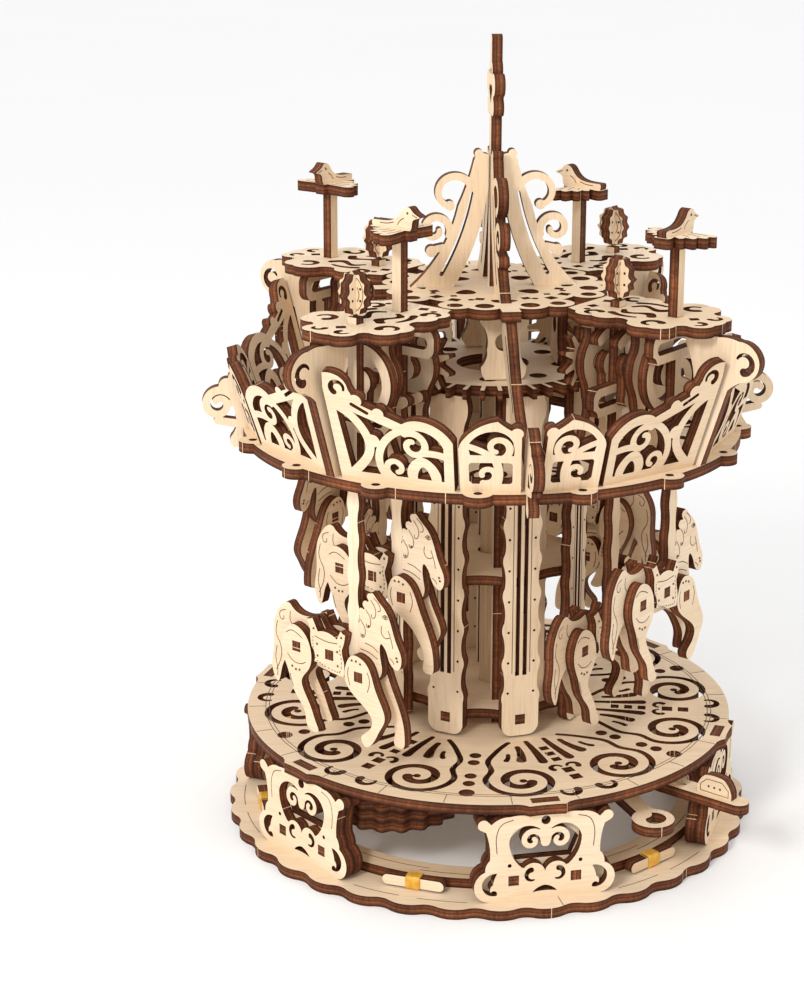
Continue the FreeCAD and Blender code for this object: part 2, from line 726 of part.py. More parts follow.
def rim_boards():
    foot, top = FLOOR_TOP, ROOF_HEIGHT - GAP
    outer = OUTER_POLE + SHEET / 2 + 2.0
    body = outline([(outer + 3, foot), (board_line(0) + 1.6, foot),
                    (board_line(30) + 2.0, foot + 30, -0.1),
                    (board_line(36) + 6.0, foot + 34, 0.45), (118.5, foot + 43, 0.35),
                    (110.0, top - 0.4, 0.12), (102.0, top), (outer + 2, top), (outer + 2, top - 4, -0.2),
                    (outer + 5.0, foot + 24, -0.15)])
    curl = stroke(arc_path(112.5, foot + 41.0, 3.2, 150, -240, 30), 0.5, 1.6)
    slits = [stroke([(board_line(8) - 3.4, foot + 6), (board_line(30) - 3.4, foot + 30)], 0.7, 0.7)]
    flat = sheet([body], [curl] + slits)
    return [radial(flat, az) for az in around(SIDES, PAIR_AZ)]


def rim_scrolls():
    foot = FLOOR_TOP
    rim = FLOOR_RADIUS + PEG_FIT
    body = outline([(91, foot), (rim, foot), (rim, foot - 6.0, 0.3), (rim + 3.6, foot - 7.6, 0.4),
                    (rim + 4.4, foot - 3.0, -0.2), (board_line(0) + 4.4, foot + 3.0),
                    (board_line(20) + 1.0, foot + 20, 0.4), (board_line(20) - 5.0, foot + 24, 0.1),
                    (91.5, foot + 12)])
    adds = [stroke(spiral(105.5, foot + 9.5, 6.2, 1.8, 160, -470, 35), 1.6, 1.3),
            stroke([(97.0, foot + 1.6), (102.0, foot + 2.4), (106.0, foot + 3.2)], 1.6, 1.5),
            stroke([(99.0, foot + 12.0), (100.4, foot + 10.0)], 1.5, 1.5),
            disc(102.4, foot + 16.8, 3.0)]
    flat = sheet([body], (), adds)
    return [radial(flat, az) for az in around(SIDES, FIN_AZ)]


# ---------------------------------------------------------------- roof
def tall_fins():
    foot, top = FLOOR_TOP, ROOF_HEIGHT
    body = outline([(62, foot), (90.4, foot), (90.4, foot + 8), (74.0, foot + 16, -0.12),
                    (52.0, top - 10, 0.0), (44.5, top), (33.0, top), (36.0, top - 8, 0.1),
                    (56.0, foot + 24, 0.1), (62.0, foot + 12)])
    slits = [stroke([(44.0, top - 6), (64.0, foot + 21)], 0.7, 0.7),
             stroke([(70.0, foot + 6), (84.0, foot + 6)], 0.8, 0.8)]
    flat = sheet([body], slits)
    return [radial(flat, az) for az in around(SIDES, FIN_AZ)]


LENS_RING = 36.5            # radius of the ring lobes of the top plate


def top_plate():
    """Round middle of the roof: ring lobes towards the fins, wide shoulders towards the petals."""
    outers = [disc(0, 0, 35.0)]
    cuts = [disc(0, 0, 1.2)]
    for az in around(SIDES, FIN_AZ):
        for side in (-13.5, 13.5):
            outers.append(turned(disc(LENS_RING - 0.5, 0, 7.0), az + side))
            cuts.append(turned(disc(LENS_RING, 0, 3.6), az + side))
        for side in (-30.0, 30.0):
            outers.append(turned(disc(LENS_RING + 1.5, 0, 6.4), az + side))
            cuts.append(turned(disc(LENS_RING + 2.0, 0, 3.0), az + side))
        outers.append(turned(box(38.0, 0, 16.0, 7.0), az))
        cuts.append(turned(smooth([(27.5, -5.0), (30.5, 0), (27.5, 5.0), (26.0, 0)]), az))
        cuts += [turned(turned_box(25.4, 0, 3.4, 0), az + side) for side in (-20.0, 20.0)]
    for az in around(SIDES, PAIR_AZ):
        cuts += [turned(turned_box(30.0, side * 4.2, 4.2, 12 * side), az) for side in (-1, 1)]
        cuts.append(turned(smooth([(16.4, -3.6), (21.0, 0), (16.4, 3.6), (13.4, 0)]), az))
        cuts += [turned(disc(26.0, side * 9.0, 1.3), az) for side in (-1, 1)]
        cuts.append(turned(turned_box(25.0, 0, 2.4, 45), az))
    return level(sheet(outers, cuts), ROOF_HEIGHT)


PETAL_FOOT = 44.2
PETAL_LINE = ((PETAL_FOOT, -13.5), (49.0, -15.5, 0.55), (57.5, -18.0, 0.5), (66.5, -15.6, -0.4),
              (73.0, -17.6, 0.55), (83.5, -21.4, 0.6), (90.5, -13.5, -0.35), (93.5, -10.5, 0.7),
              (OUTER_POLE + 19.0, -4.0, 0.25))


def mirror_line(half):
    """Close an outline by its mirror image across the x axis."""
    back = []
    for index in range(len(half) - 1, -1, -1):
        bulge = half[index - 1][2] if index > 0 and len(half[index - 1]) > 2 else 0.0
        back.append((half[index][0], -half[index][1], bulge))
    return outline(list(half) + back)


def petals():
    cuts = [guide_hole(INNER_POLE, POST_SIDE), guide_hole(OUTER_POLE, POST_SIDE)]
    for side in (-1, 1):
        cuts += [stroke([(62.0, side * 3.2), (66.5, side * 6.2), (71.0, side * 3.6),
                         (75.6, side * 6.2)], 1.1, 2.0),
                 stroke([(60.6, side * 9.4), (66.0, side * 11.4), (71.4, side * 10.8)], 1.6, 0.9),
                 stroke(arc_path(81.4, side * 14.4, 3.3, 90 * side, 230 * side, 30), 0.8, 1.7),
                 stroke(arc_path(55.4, side * 13.2, 2.8, 90 * side, 220 * side, 30), 0.8, 1.5),
                 stroke(arc_path(95.4, side * 5.4, 2.2, 90 * side, -200 * side, 30), 0.6, 1.3),
                 turned_box(49.4, 5.0 * side, 3.6, 20 * side), disc(50.6, 10.6 * side, 1.3)]
    cuts += [turned_box(90.0, 0, 3.6, 45)]
    flat = sheet([mirror_line(PETAL_LINE)], cuts)
    return [level(flat, ROOF_HEIGHT, az) for az in around(SIDES, PAIR_AZ)]


def turned_box(x, y, side, angle):
    wire = box(0, 0, side, side)
    wire.rotate(V(0, 0, 0), V(0, 0, 1), angle)
    wire.translate(V(x, y, 0))
    return wire


WEB_SPACE_INNER = 1.6       # between a bearing plate and the crank web beside it
WEB_SPACE_OUTER = 3.6
BEARING_INNER = INNER_POLE - 2.5 * SHEET - GAP - WEB_SPACE_INNER
BEARING_OUTER = INNER_POLE + 1.5 * SHEET + GAP + WEB_SPACE_OUTER
BEARING_RADII = (BEARING_INNER, BEARING_OUTER)


def bearing_plates():
    """Waisted uprights between floor and petals that carry the crankshafts."""
    height = ROOF_HEIGHT - FLOOR_TOP
    axle = AXLE_HEIGHT - FLOOR_TOP
    plates = []
    for radius, half in zip(BEARING_RADII, (7.5, 8.5)):
        body = outline([(-half - 2, 0), (half + 2, 0), (half - 2, 9, -0.25), (half - 2.4, 18, -0.1),
                        (half, axle - 6, 0.3), (half, axle + 6, -0.3), (half - 2, height - 4),
                        (half + 1, height),
                        (-half - 1, height), (-half + 2, height - 4, -0.3), (-half, axle + 6, 0.3),
                        (-half, axle - 6, -0.1), (-half + 2.4, 18, -0.25), (-half + 2, 9)])
        cuts = [disc(0, axle, JOURNAL_RADIUS + RUN_FIT), stroke([(0, 7), (0, 20)], 1.6, 0.8),
                stroke(arc_path(0, height - 5.0, 2.4, 180, 180, 30), 0.5, 0.9)]
        flat = sheet([body], cuts)
        plates += [facing(flat, az, radius, FLOOR_TOP) for az in around(SIDES, PAIR_AZ)]
    return plates + core_plates()


CORE_RADIUS = 24.0


def core_plates():
    """Four waisted plates that hang from the roof round the shaft, above the crown ring."""
    height = ROOF_HEIGHT - RING_HEIGHT - SHEET - GAP
    body = mirror_upright([(7.0, 0.0, 0.2), (8.6, 5.0, -0.25), (6.4, height * 0.45, -0.25),
                           (9.0, height - 4.0),
                           (9.6, height)])
    flat = sheet([body], [disc(0, height * 0.55, 3.4)])
    return [facing(flat, az, CORE_RADIUS, ROOF_HEIGHT - height) for az in around(SIDES, FIN_AZ)]


def mirror_upright(half):
    """Close a right-hand outline by its mirror image across the y axis."""
    back = []
    for index in range(len(half) - 1, -1, -1):
        bulge = half[index - 1][2] if index > 0 and len(half[index - 1]) > 2 else 0.0
        back.append((-half[index][0], half[index][1], bulge))
    return outline(list(half) + back)


def crown_fins():
    """Four scrolled fins that lean together under the finial."""
    foot = ROOF_TOP
    lower = foot + 22.0
    upper = CROWN_HEIGHT - 16.5
    body = outline([(15.5, foot), (32.2, foot, -0.16), (14.2, foot + 31, -0.05),
                    (8.4, CROWN_HEIGHT - 4, 0.5),
                    (FINIAL_HALF + 0.4, CROWN_HEIGHT - 1.5), (FINIAL_HALF + 0.4, CROWN_HEIGHT - 14, 0.1)])
    hook = spiral(16.2, upper, 8.4, 4.4, 200, -275, 25)
    scrolls = [stroke(hook, 1.6, 1.1), disc(hook[-1][0], hook[-1][1], 1.9),
               stroke(spiral(23.0, lower, 6.0, 1.8, 200, -370, 30), 1.5, 1.1),
               disc(24.2, lower - 8.2, 2.2),
               stroke([(20.0, lower - 6.8), (23.6, lower - 7.6)], 1.4, 1.4),
               disc(6.4, CROWN_HEIGHT - 1.2, 1.7)]
    slit = stroke([(20.4, foot + 5), (13.4, foot + 20), (9.0, foot + 36)], 0.75, 0.5)
    flat = sheet([body], (), scrolls, [slit])
    return [radial(flat, az) for az in around(SIDES, FIN_AZ)]


FINIAL_HALF = 2.4


def finial():
    """Flat mast with a clover leaf near the top."""
    foot, top = ROOF_TOP, TOTAL_HEIGHT
    mast = outline([(-FINIAL_HALF, foot), (FINIAL_HALF, foot), (FINIAL_HALF, CROWN_HEIGHT),
                    (2.0, top - 2, 0.6),
                    (-2.0, top - 2), (-FINIAL_HALF, CROWN_HEIGHT)])
    leaf = top - 22.0
    lobes = [disc(0, leaf, 6.5), disc(-6.4, leaf + 3.0, 4.2), disc(6.4, leaf + 3.0, 4.2),
             disc(0, leaf + 8.0, 4.0),
             disc(-4.4, leaf - 5.4, 3.4), disc(4.4, leaf - 5.4, 3.4)]
    heart = outline([(0, leaf - 4.6), (3.6, leaf + 0.6, 0.8), (0, leaf + 1.6, 0.8), (-3.6, leaf + 0.6)])
    ring = disc(0, leaf + 7.6, 1.2)
    return radial(sheet([mast] + lobes, [heart, ring]), FIN_AZ)


# ---------------------------------------------------------------- crankshafts
def crank_web(reach):
    """Hooked web: hub on the shaft, boss at the throw, open curl between them."""
    hub, boss = 4.6, 3.4
    rim = stroke(arc_path(0, 0, THROW, 90, 215, 25), 2.0, 2.0)
    arm = stroke([(0, 0), (0, reach)], 3.2, 2.8)
    return sheet([disc(0, 0, hub), arm, disc(0, reach, boss), rim])


def pinion():
    teeth = [disc(0, 0, PINION_PITCH - 3.4)]
    for index in range(PINION_TEETH):
        tooth = outline([(PINION_PITCH - 5, -1.6), (PINION_TIP - 0.6, -TOOTH / 2, 0.35),
                         (PINION_TIP - 0.6, TOOTH / 2), (PINION_PITCH - 5, 1.6)])
        teeth.append(turned(tooth, -90 + 360 * index / PINION_TEETH))
    return sheet(teeth)


def crankshaft(azimuth, throw_side):
    """Two halves that the inner pole's yoke parts; throw_side is +1 when the outer web points up."""
    half = AXLE_SIDE / 2
    inner_yoke = INNER_POLE - SHEET / 2 - GAP
    inner_far = INNER_POLE + SHEET / 2 + GAP
    outer_yoke = OUTER_POLE - SHEET / 2 - GAP
    pinion_radius = RING_PITCH - SHEET / 2

    def bar(start, end):
        flat = prism(box(0, 0, AXLE_SIDE, AXLE_SIDE), end - start)
        return facing(flat, azimuth, start, AXLE_HEIGHT)

    def journal(radius):
        return round_bar(azimuth, radius - GAP, radius + SHEET + GAP, AXLE_HEIGHT, JOURNAL_RADIUS)

    def web(radius, side):
        flat = crank_web(THROW)
        if side < 0:
            flat = turned_solid(flat, 180)
        return facing(flat, azimuth, radius, AXLE_HEIGHT)

    inner = [bar(pinion_radius, inner_yoke), journal(BEARING_RADII[0]),
             web(inner_yoke - SHEET, -throw_side),
             facing(pinion(), azimuth, pinion_radius, AXLE_HEIGHT)]
    outer = [bar(inner_far, outer_yoke), journal(BEARING_RADII[1]), web(inner_far, -throw_side),
             web(outer_yoke - SHEET, throw_side)]
    return [joined(inner), joined(outer)]


# ---------------------------------------------------------------- under the deck
STOP_PIVOT = (58.0, -46.0)
STOP_ANGLE = -37.0
STOP_REACH = 49.0
STOP_LEVEL = 30.0
SIGN_START = 28.0            # where the upright plate begins along the lever
SIGN_LENGTH = 15.0
HANDLE_PIVOT = (51.5, -51.0)
HANDLE_ANGLE = -67.0
HANDLE_REACH = 27.0
HANDLE_LEVEL = 24.0


def pivot_pins():
    middle = polar(DRUM_DISTANCE, DRUM_AZ)
    drum_pin = upright(AXLE_PIN, middle.x, middle.y, DRUM_FOOT - 2 * GAP, DECK_HEIGHT)
    stop_pin = upright(LEVER_PIN, STOP_PIVOT[0], STOP_PIVOT[1], STOP_LEVEL - 2 * GAP, DECK_HEIGHT)
    handle_pin = upright(LEVER_PIN, HANDLE_PIVOT[0], HANDLE_PIVOT[1], HANDLE_LEVEL - 2 * GAP, DECK_HEIGHT)
    return [drum_pin, stop_pin, handle_pin]


def lever_at(flat, pivot, angle, height):
    return placed(flat, V(pivot[0], pivot[1], height), polar(1.0, angle), polar(1.0, angle + 90))


def stop_lever():
    body = stroke([(0, 0), (STOP_REACH - 4.0, 0)], 4.4, 4.0)
    slot = box(SIGN_START + SIGN_LENGTH / 2, 0, SIGN_LENGTH - 4.0, SHEET)
    cuts = [disc(0, 0, LEVER_PIN + RUN_FIT), slot]
    return lever_at(sheet([body], cuts), STOP_PIVOT, STOP_ANGLE, STOP_LEVEL)


def stop_plate():
    """Small upright plate, rounded at the top, plugged into the stop lever."""
    start, end = SIGN_START, SIGN_START + SIGN_LENGTH
    low, high = SHEET, SHEET + 7.6
    body = outline([(start + 2, 0), (end - 2, 0), (end - 2, low), (end, low), (end, low + 2.0, 0.2),
                    (end - 3.4, high, 0.12), (start + 3.4, high, 0.2), (start, low + 2.0), (start, low),
                    (start + 2, low)])
    along = polar(1.0, STOP_ANGLE)
    side = polar(1.0, STOP_ANGLE + 90)
    origin = V(STOP_PIVOT[0], STOP_PIVOT[1], STOP_LEVEL) + side * (SHEET / 2)
    return placed(sheet([body]), origin, along, V(0, 0, 1))


def handle_lever():
    arm = stroke([(0, 0), (HANDLE_REACH - 5, 0)], 3.6, 3.4)
    ring = disc(HANDLE_REACH, 0, 8.0)
    hole = outline([(HANDLE_REACH - 4.6, 1.4, -0.9), (HANDLE_REACH + 4.6, 0.2, -0.8),
                    (HANDLE_REACH - 1.0, -2.2, 0.4)])
    cuts = [disc(0, 0, LEVER_PIN + RUN_FIT), hole]
    return lever_at(sheet([arm, ring], cuts), HANDLE_PIVOT, HANDLE_ANGLE, HANDLE_LEVEL)


def motor_band():
    """Flat rubber loop stretched along the underside of the deck."""
    start, end = polar(80.0, 176.0), polar(50.0, 196.0)
    along = (end - start).normalize()
    length = (polar(50.0, 196.0) - start).Length
    flat = sheet([stroke([(0, 0), (length, 0)], 3.4, 3.4)],
                 [stroke([(0, 0), (length, 0)], 3.4 - BAND_THICKNESS, 3.4 - BAND_THICKNESS)],
                 thickness=5.0)
    return placed(flat, start + V(0, 0, DECK_HEIGHT - 8.0), along, V(-along.y, along.x, 0))


def band_posts():
    posts = []
    for where in (polar(80.0, 176.0), polar(50.0, 196.0)):
        posts.append(upright(3.4 - BAND_THICKNESS, where.x, where.y, DECK_HEIGHT - 9.0, DECK_HEIGHT))
    return posts


# ---------------------------------------------------------------- horses
PIN_SPOTS = ((-15.7, 32.1), (0.5, 32.6), (14.4, 27.2))


def horse_body():
    """Middle layer: back, neck and head, with the tail behind."""
    trunk = smooth([(-21.5, 46.0), (-16.5, 43.4), (-11.0, 44.0), (-7.8, 44.8), (-4.6, 41.0), (0.0, 39.4),
                    (4.4, 40.6), (8.4, 43.6), (11.2, 48.2), (14.0, 52.6), (16.2, 56.4), (17.8, 59.8),
                    (20.2, 57.8), (23.6, 54.8), (26.6, 49.6), (29.2, 42.8), (31.6, 36.0), (29.6, 32.4),
                    (26.6, 34.0), (24.2, 39.0), (22.2, 41.0), (21.6, 36.0), (22.4, 30.0), (19.5, 25.4),
                    (8.0, 23.6), (-6.0, 24.4), (-13.5, 26.4), (-19.0, 27.5), (-23.5, 25.0), (-26.8, 19.0),
                    (-28.8, 13.6), (-31.2, 17.5), (-30.8, 26.0), (-30.6, 34.0), (-29.2, 41.0)])
    mane = [disc(12.8, 51.2, 1.7), disc(15.0, 54.6, 1.6), disc(17.0, 58.0, 1.5)]
    return sheet([trunk] + mane)


def hind_leg(lift):
    body = smooth([(-16.0, 40.6), (-11.0, 37.5), (-8.4, 31.0), (-9.6, 24.5), (-13.2, 19.0 + lift),
                   (-11.8, 14.6 + lift), (-8.6, 9.0 + lift), (-6.2, 3.4 + lift), (-5.2, 0.4 + lift),
                   (-9.6, 0.4 + lift), (-11.6, 6.0 + lift), (-15.8, 12.4 + lift), (-18.4, 17.0 + lift),
                   (-19.8, 21.5), (-22.2, 27.0), (-22.6, 34.0)])
    return [body]


def fore_leg(bent):
    if bent:
        knee = [(22.4, 24.5), (25.6, 18.4), (27.0, 13.6), (24.6, 8.6), (21.6, 3.2), (17.6, 0.6),
                (15.8, 3.4),
                (19.0, 7.0), (21.0, 11.6), (18.2, 15.4), (12.6, 19.4)]
    else:
        knee = [(23.0, 24.5), (26.4, 17.4), (29.2, 10.0), (30.0, 3.0), (29.4, 0.4), (25.4, 0.4),
                (25.4, 5.4),
                (23.4, 11.0), (19.6, 16.0), (13.6, 20.0)]
    body = smooth([(13.6, 35.4), (19.0, 32.4)] + knee + [(8.4, 24.0), (8.4, 30.4)])
    return [body]


def saddle():
    body = outline([(-10.6, 44.6, 0.15), (-7.6, 45.4, 0), (-5.0, 40.6, -0.25), (4.2, 39.6, 0),
                    (6.2, 43.4, 0.3),
                    (8.2, 42.2, -0.1), (6.6, 36.0, 0.1), (7.6, 31.4, -0.1), (7.4, 25.4, 0),
                    (1.0, 26.0, 0.15),
                    (-6.8, 28.4, 0.3), (-8.0, 34.0, -0.1), (-8.6, 40.0, 0.1)])
    return [body]


def horse_layers(bent_near):
    """Flat pieces of one horse, each with the distance of its back from the middle plane."""
    half = SHEET / 2
    holes = [prism(box(x, y, PEG_SIDE, PEG_SIDE)) for x, y in PIN_SPOTS]
    pieces = []
    snug = prism(box(HORSE_SHIFT, POLE_FOOT + SLOT_DEPTH / 2, POLE_WIDTH + 2 * PEG_FIT, SLOT_DEPTH))
    wave_room = POLE_WIDTH + 2 * POLE_WAVE + 2 * PEG_FIT
    wide = prism(box(HORSE_SHIFT, STEM_START + SLOT_DEPTH / 2, wave_room, SLOT_DEPTH))
    pieces.append((biggest(horse_body().cut(holes + [snug, wide])), -half))
    for side in (-1, 1):
        near = side > 0
        shapes = [sheet(hind_leg(0.0 if near else 1.6)),
                  sheet(fore_leg(bent_near if near else not bent_near)),
                  sheet(saddle())]
        for shape in shapes:
            pieces.append((biggest(shape.cut(holes)), half if near else -half - SHEET))
    for x, y in PIN_SPOTS:
        pieces.append((prism(peg_outline(x, y), 3 * SHEET), -half - SHEET))
    return pieces


def horse(azimuth, radius, foot, bent_near):
    """A horse on the tangent, facing counter-clockwise."""
    solids = []
    right = polar(1.0, azimuth + 90)
    for flat, back in horse_layers(bent_near):
        origin = polar(radius + back, azimuth, foot) - right * HORSE_SHIFT
        solids.append(placed(flat, origin, right, V(0, 0, 1)))
    return solids


POLE_FOOT = 33.0            # above the hooves, in a slot of the body layer
SLOT_DEPTH = 30.0
STEM_START = 47.0           # above the hooves, where the pole begins to wave
YOKE_WIDTH = 2 * (THROW + PIN_RADIUS + 3.2)
YOKE_HEIGHT = 11.0


def pole_side(start, end):
    """Right-hand wavy edge of a pole between two heights."""
    points = []
    height = start
    pitch = 7.0
    half = POLE_WIDTH / 2
    while height + 2 * pitch < end:
        points.append((half, height, 2 * POLE_WAVE / pitch))
        points.append((half, height + pitch, -2 * POLE_WAVE / pitch * 0.5))
        height += 2 * pitch
    points.append((half, height))
    return points


def pole(azimuth, radius, foot):
    """Wavy pole, slotted yoke for the crank pin, and square post above the roof."""
    axle = AXLE_HEIGHT - HORSE_LOW - THROW
    wave_end = axle - YOKE_HEIGHT / 2 - 4
    post_top = ROOF_TOP - HORSE_LOW + TOPPER_CLEAR
    right = pole_side(STEM_START, wave_end)
    left = []
    for index in range(len(right) - 1, -1, -1):
        bulge = right[index - 1][2] if index > 0 else 0.0
        left.append((-right[index][0], right[index][1], bulge))
    root = box(0, (POLE_FOOT + STEM_START) / 2, POLE_WIDTH, STEM_START - POLE_FOOT)
    stem = outline(right + left)
    stem_top = right[-1][1]
    post = box(0, (stem_top + post_top) / 2 - 0.5, POST_SIDE, post_top - stem_top + 1)
    yoke = outline([(-YOKE_WIDTH / 2, axle - 2.0, -0.3), (-YOKE_WIDTH / 2 + 3, axle - YOKE_HEIGHT / 2),
                    (YOKE_WIDTH / 2 - 3, axle - YOKE_HEIGHT / 2, 0.3), (YOKE_WIDTH / 2, axle - 2.0),
                    (YOKE_WIDTH / 2, axle + 2.0, 0.3), (YOKE_WIDTH / 2 - 3, axle + YOKE_HEIGHT / 2),
                    (-YOKE_WIDTH / 2 + 3, axle + YOKE_HEIGHT / 2, 0.3), (-YOKE_WIDTH / 2, axle + 2.0)])
    slot = stroke([(-THROW, axle), (THROW, axle)], PIN_RADIUS + 0.2, PIN_RADIUS + 0.2)
    flat = sheet([root, stem, post, yoke], [slot])
    return facing(flat, azimuth, radius - SHEET / 2, foot)


# ---------------------------------------------------------------- toppers
def lantern(azimuth, radius, base):
    """Two scalloped ovals crossed on the post."""
    points = []
    scallops = 12
    for index in range(scallops * 2):
        angle = 360.0 * index / (scallops * 2)
        swell = 1.0 if index % 2 == 0 else 0.88
        points.append((6.4 * swell * math.cos(math.radians(angle)),
                       8.6 + 8.2 * swell * math.sin(math.radians(angle))))
    oval = smooth(points)
    holes = []
    for index in range(8):
        angle = math.radians(22.5 + 45 * index)
        holes.append(disc(4.2 * math.cos(angle), 8.6 + 5.6 * math.sin(angle), 0.5))
    whole = sheet([oval], holes)
    slit = prism(box(0, 8.6, SHEET, 20.0))
    halves = [piece for piece in whole.cut(slit).Solids]
    across = facing(whole, azimuth, radius - SHEET / 2, base)
    sides = [radial_piece(piece, azimuth, radius, base) for piece in halves]
    return [across] + sides


def radial_piece(flat, azimuth, radius, base):
    origin = polar(radius, azimuth, base) + polar(SHEET / 2, azimuth + 90)
    return placed(flat, origin, polar(1.0, azimuth), V(0, 0, 1))


def bird(azimuth, radius, base):
    """Level wings with notched feathers and an upright body with head and beak."""
    wings = mirror_line([(6.4, -2.0), (4.2, -2.4), (5.2, -11.0, -0.5), (2.0, -14.2), (1.0, -11.4, -0.5),
                         (-2.2, -12.6), (-2.6, -9.0, -0.5), (-5.8, -9.6), (-5.2, -6.0, -0.5),
                         (-8.2, -5.4),
                         (-6.4, -2.4), (-10.2, -3.4, -0.5), (-12.0, -1.0)])
    body = smooth([(-10.8, 2.4), (-5.0, 2.6), (-1.0, 3.6), (1.6, 5.8), (3.4, 8.0), (5.8, 8.4), (7.6, 6.8),
                   (10.6, 5.2), (7.6, 4.0), (6.9, 1.4), (5.0, -1.0), (0.0, -1.8), (-7.0, -0.8),
                   (-11.2, 0.6)])
    level_wings = sheet([wings])
    along = polar(1.0, azimuth + 90)
    out = polar(-1.0, azimuth)
    middle = polar(radius, azimuth, base)
    wing_solid = placed(level_wings, middle, along, out)
    upper = sheet([body], [box(0, -SHEET, 60.0, 2 * SHEET)])
    upright_body = placed(upper, middle + V(0, 0, SHEET) + out * (SHEET / 2), along, V(0, 0, 1))
    return [wing_solid, upright_body]


# ---------------------------------------------------------------- build
def horse_places():
    """Number, azimuth, pole radius and whether the horse rests high."""
    places = []
    number = 1
    for index, az in enumerate(around(SIDES, PAIR_AZ)):
        outer_high = index % 2 == 1
        places.append((number, az, OUTER_POLE, outer_high))
        places.append((number + 1, az, INNER_POLE, not outer_high))
        number += 2
    return places


def main():
    os.makedirs("parts", exist_ok=True)
    export("base_ring", [base_ring()])
    export("raised_ring", [raised_ring()])
    export("side_brackets", side_brackets())
    export("bracket_backs", bracket_backs())
    export("bracket_pegs", bracket_pegs())
    export("band_toggles", band_toggles())
    export("toggle_bands", toggle_bands())
    export("deck", [deck()])
    export("column_plates", column_plates())
    export("column_discs", column_discs())
    export("column_posts", column_posts())
    export("ring_gear", [ring_gear()])
    export("pivot_pins", pivot_pins() + band_posts())
    export("motor_band", [motor_band()])
    export("drive_shaft", [drive_shaft()])
    export("shaft_collar", [shaft_collar()])
    export("drive_gear", [drive_gear()])
    export("canopy_floor", [canopy_floor()])
    export("small_panels", small_panels())
    export("large_panels", large_panels())
    export("rim_scrolls", rim_scrolls())
    export("rim_boards", rim_boards())
    export("bearing_plates", bearing_plates())
    export("top_plate", [top_plate()])
    export("petals", petals())
    export("tall_fins", tall_fins())
    export("crown_fins", crown_fins())
    export("finial", [finial()])
    export("drum", drum())
    export("stop_lever", [stop_lever()])
    export("stop_plate", [stop_plate()])
    export("handle_lever", [handle_lever()])
    for index, az in enumerate(around(SIDES, PAIR_AZ)):
        side = 1 if index % 2 == 1 else -1
        export("crankshaft_%d" % (index + 1), crankshaft(az, side))
    for number, az, radius, high in horse_places():
        foot = HORSE_LOW + (STROKE if high else 0.0)
        export("horse_%d" % number, horse(az, radius, foot, number % 2 == 1))
        export("pole_%d" % number, [pole(az, radius, foot)])
        base = ROOF_TOP + TOPPER_CLEAR + (STROKE if high else 0.0)
        if high:
            export("bird_%d" % number, bird(az, radius, base))
        else:
            export("lantern_%d" % number, lantern(az, radius, base))


main()
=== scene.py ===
import json
import math
import random

import bmesh
import bpy
from mathutils import Matrix, Vector

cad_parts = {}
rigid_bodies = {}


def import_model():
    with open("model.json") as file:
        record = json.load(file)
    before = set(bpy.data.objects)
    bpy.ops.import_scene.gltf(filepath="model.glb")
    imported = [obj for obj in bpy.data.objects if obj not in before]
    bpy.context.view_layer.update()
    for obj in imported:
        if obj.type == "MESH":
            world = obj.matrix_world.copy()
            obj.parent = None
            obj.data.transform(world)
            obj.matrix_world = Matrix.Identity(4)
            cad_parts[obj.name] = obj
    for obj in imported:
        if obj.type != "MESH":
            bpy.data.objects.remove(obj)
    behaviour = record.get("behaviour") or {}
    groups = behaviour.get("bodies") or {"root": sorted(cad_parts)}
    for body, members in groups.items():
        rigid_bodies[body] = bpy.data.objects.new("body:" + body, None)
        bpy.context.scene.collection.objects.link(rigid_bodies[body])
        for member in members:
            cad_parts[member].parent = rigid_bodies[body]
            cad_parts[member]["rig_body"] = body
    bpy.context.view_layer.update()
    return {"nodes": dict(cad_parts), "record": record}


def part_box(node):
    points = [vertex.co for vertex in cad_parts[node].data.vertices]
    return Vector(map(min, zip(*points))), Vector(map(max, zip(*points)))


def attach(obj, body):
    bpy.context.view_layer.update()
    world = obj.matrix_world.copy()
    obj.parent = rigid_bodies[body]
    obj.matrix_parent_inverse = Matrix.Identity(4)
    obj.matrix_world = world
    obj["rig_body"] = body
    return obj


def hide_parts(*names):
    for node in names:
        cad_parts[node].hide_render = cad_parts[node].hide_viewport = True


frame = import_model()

# Looks of a tabletop carousel cut from birch plywood: pale sheet faces, laser-burnt edges,
# engraved lines and amber rubber bands.  Metres, +Z up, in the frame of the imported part.

MM = 0.001
SHEET = 4.0 * MM
SEED = 7
UP = Vector((0, 0, 1))

# Places that the engraving and the bands share with the frame.
BRACKETS = 6
BRACKET_AZIMUTH = -77
TOGGLE_AZIMUTH = -47
BRACKET_FACE = 96.0
RIM_RADIUS = 96.7
COLUMN_PLATES = 8
COLUMN_AZIMUTH = -116.1
COLUMN_FACE = 38.0
POLE_FOOT = 33.0 * MM        # from the hooves up to the foot of the pole
HORSE_SHIFT = 9.0 * MM       # from a horse's middle forward to its pole
LAYER_HALF = SHEET / 2
LEG_FACE = SHEET * 1.5
STOP_PIVOT = Vector((58.0, -46.0, 0.0)) * MM
STOP_TURN = -37.0


# ---------------------------------------------------------------- node helpers
def new_material(name):
    material = bpy.data.materials.new(name)
    material.use_nodes = True
    tree = material.node_tree
    shader = tree.nodes["Principled BSDF"]
    return material, tree, shader


def link(tree, source, target):
    tree.links.new(source, target)


def mapped(tree, scale, where="UV"):
    """Coordinates from the sheet's own map, scaled."""
    if where == "UV":
        coords = tree.nodes.new("ShaderNodeUVMap")
        coords.uv_map = "sheet"
        out = coords.outputs["UV"]
    else:
        coords = tree.nodes.new("ShaderNodeTexCoord")
        out = coords.outputs["Object"]
    mapping = tree.nodes.new("ShaderNodeMapping")
    mapping.inputs["Scale"].default_value = scale
    link(tree, out, mapping.inputs["Vector"])
    return mapping.outputs["Vector"]


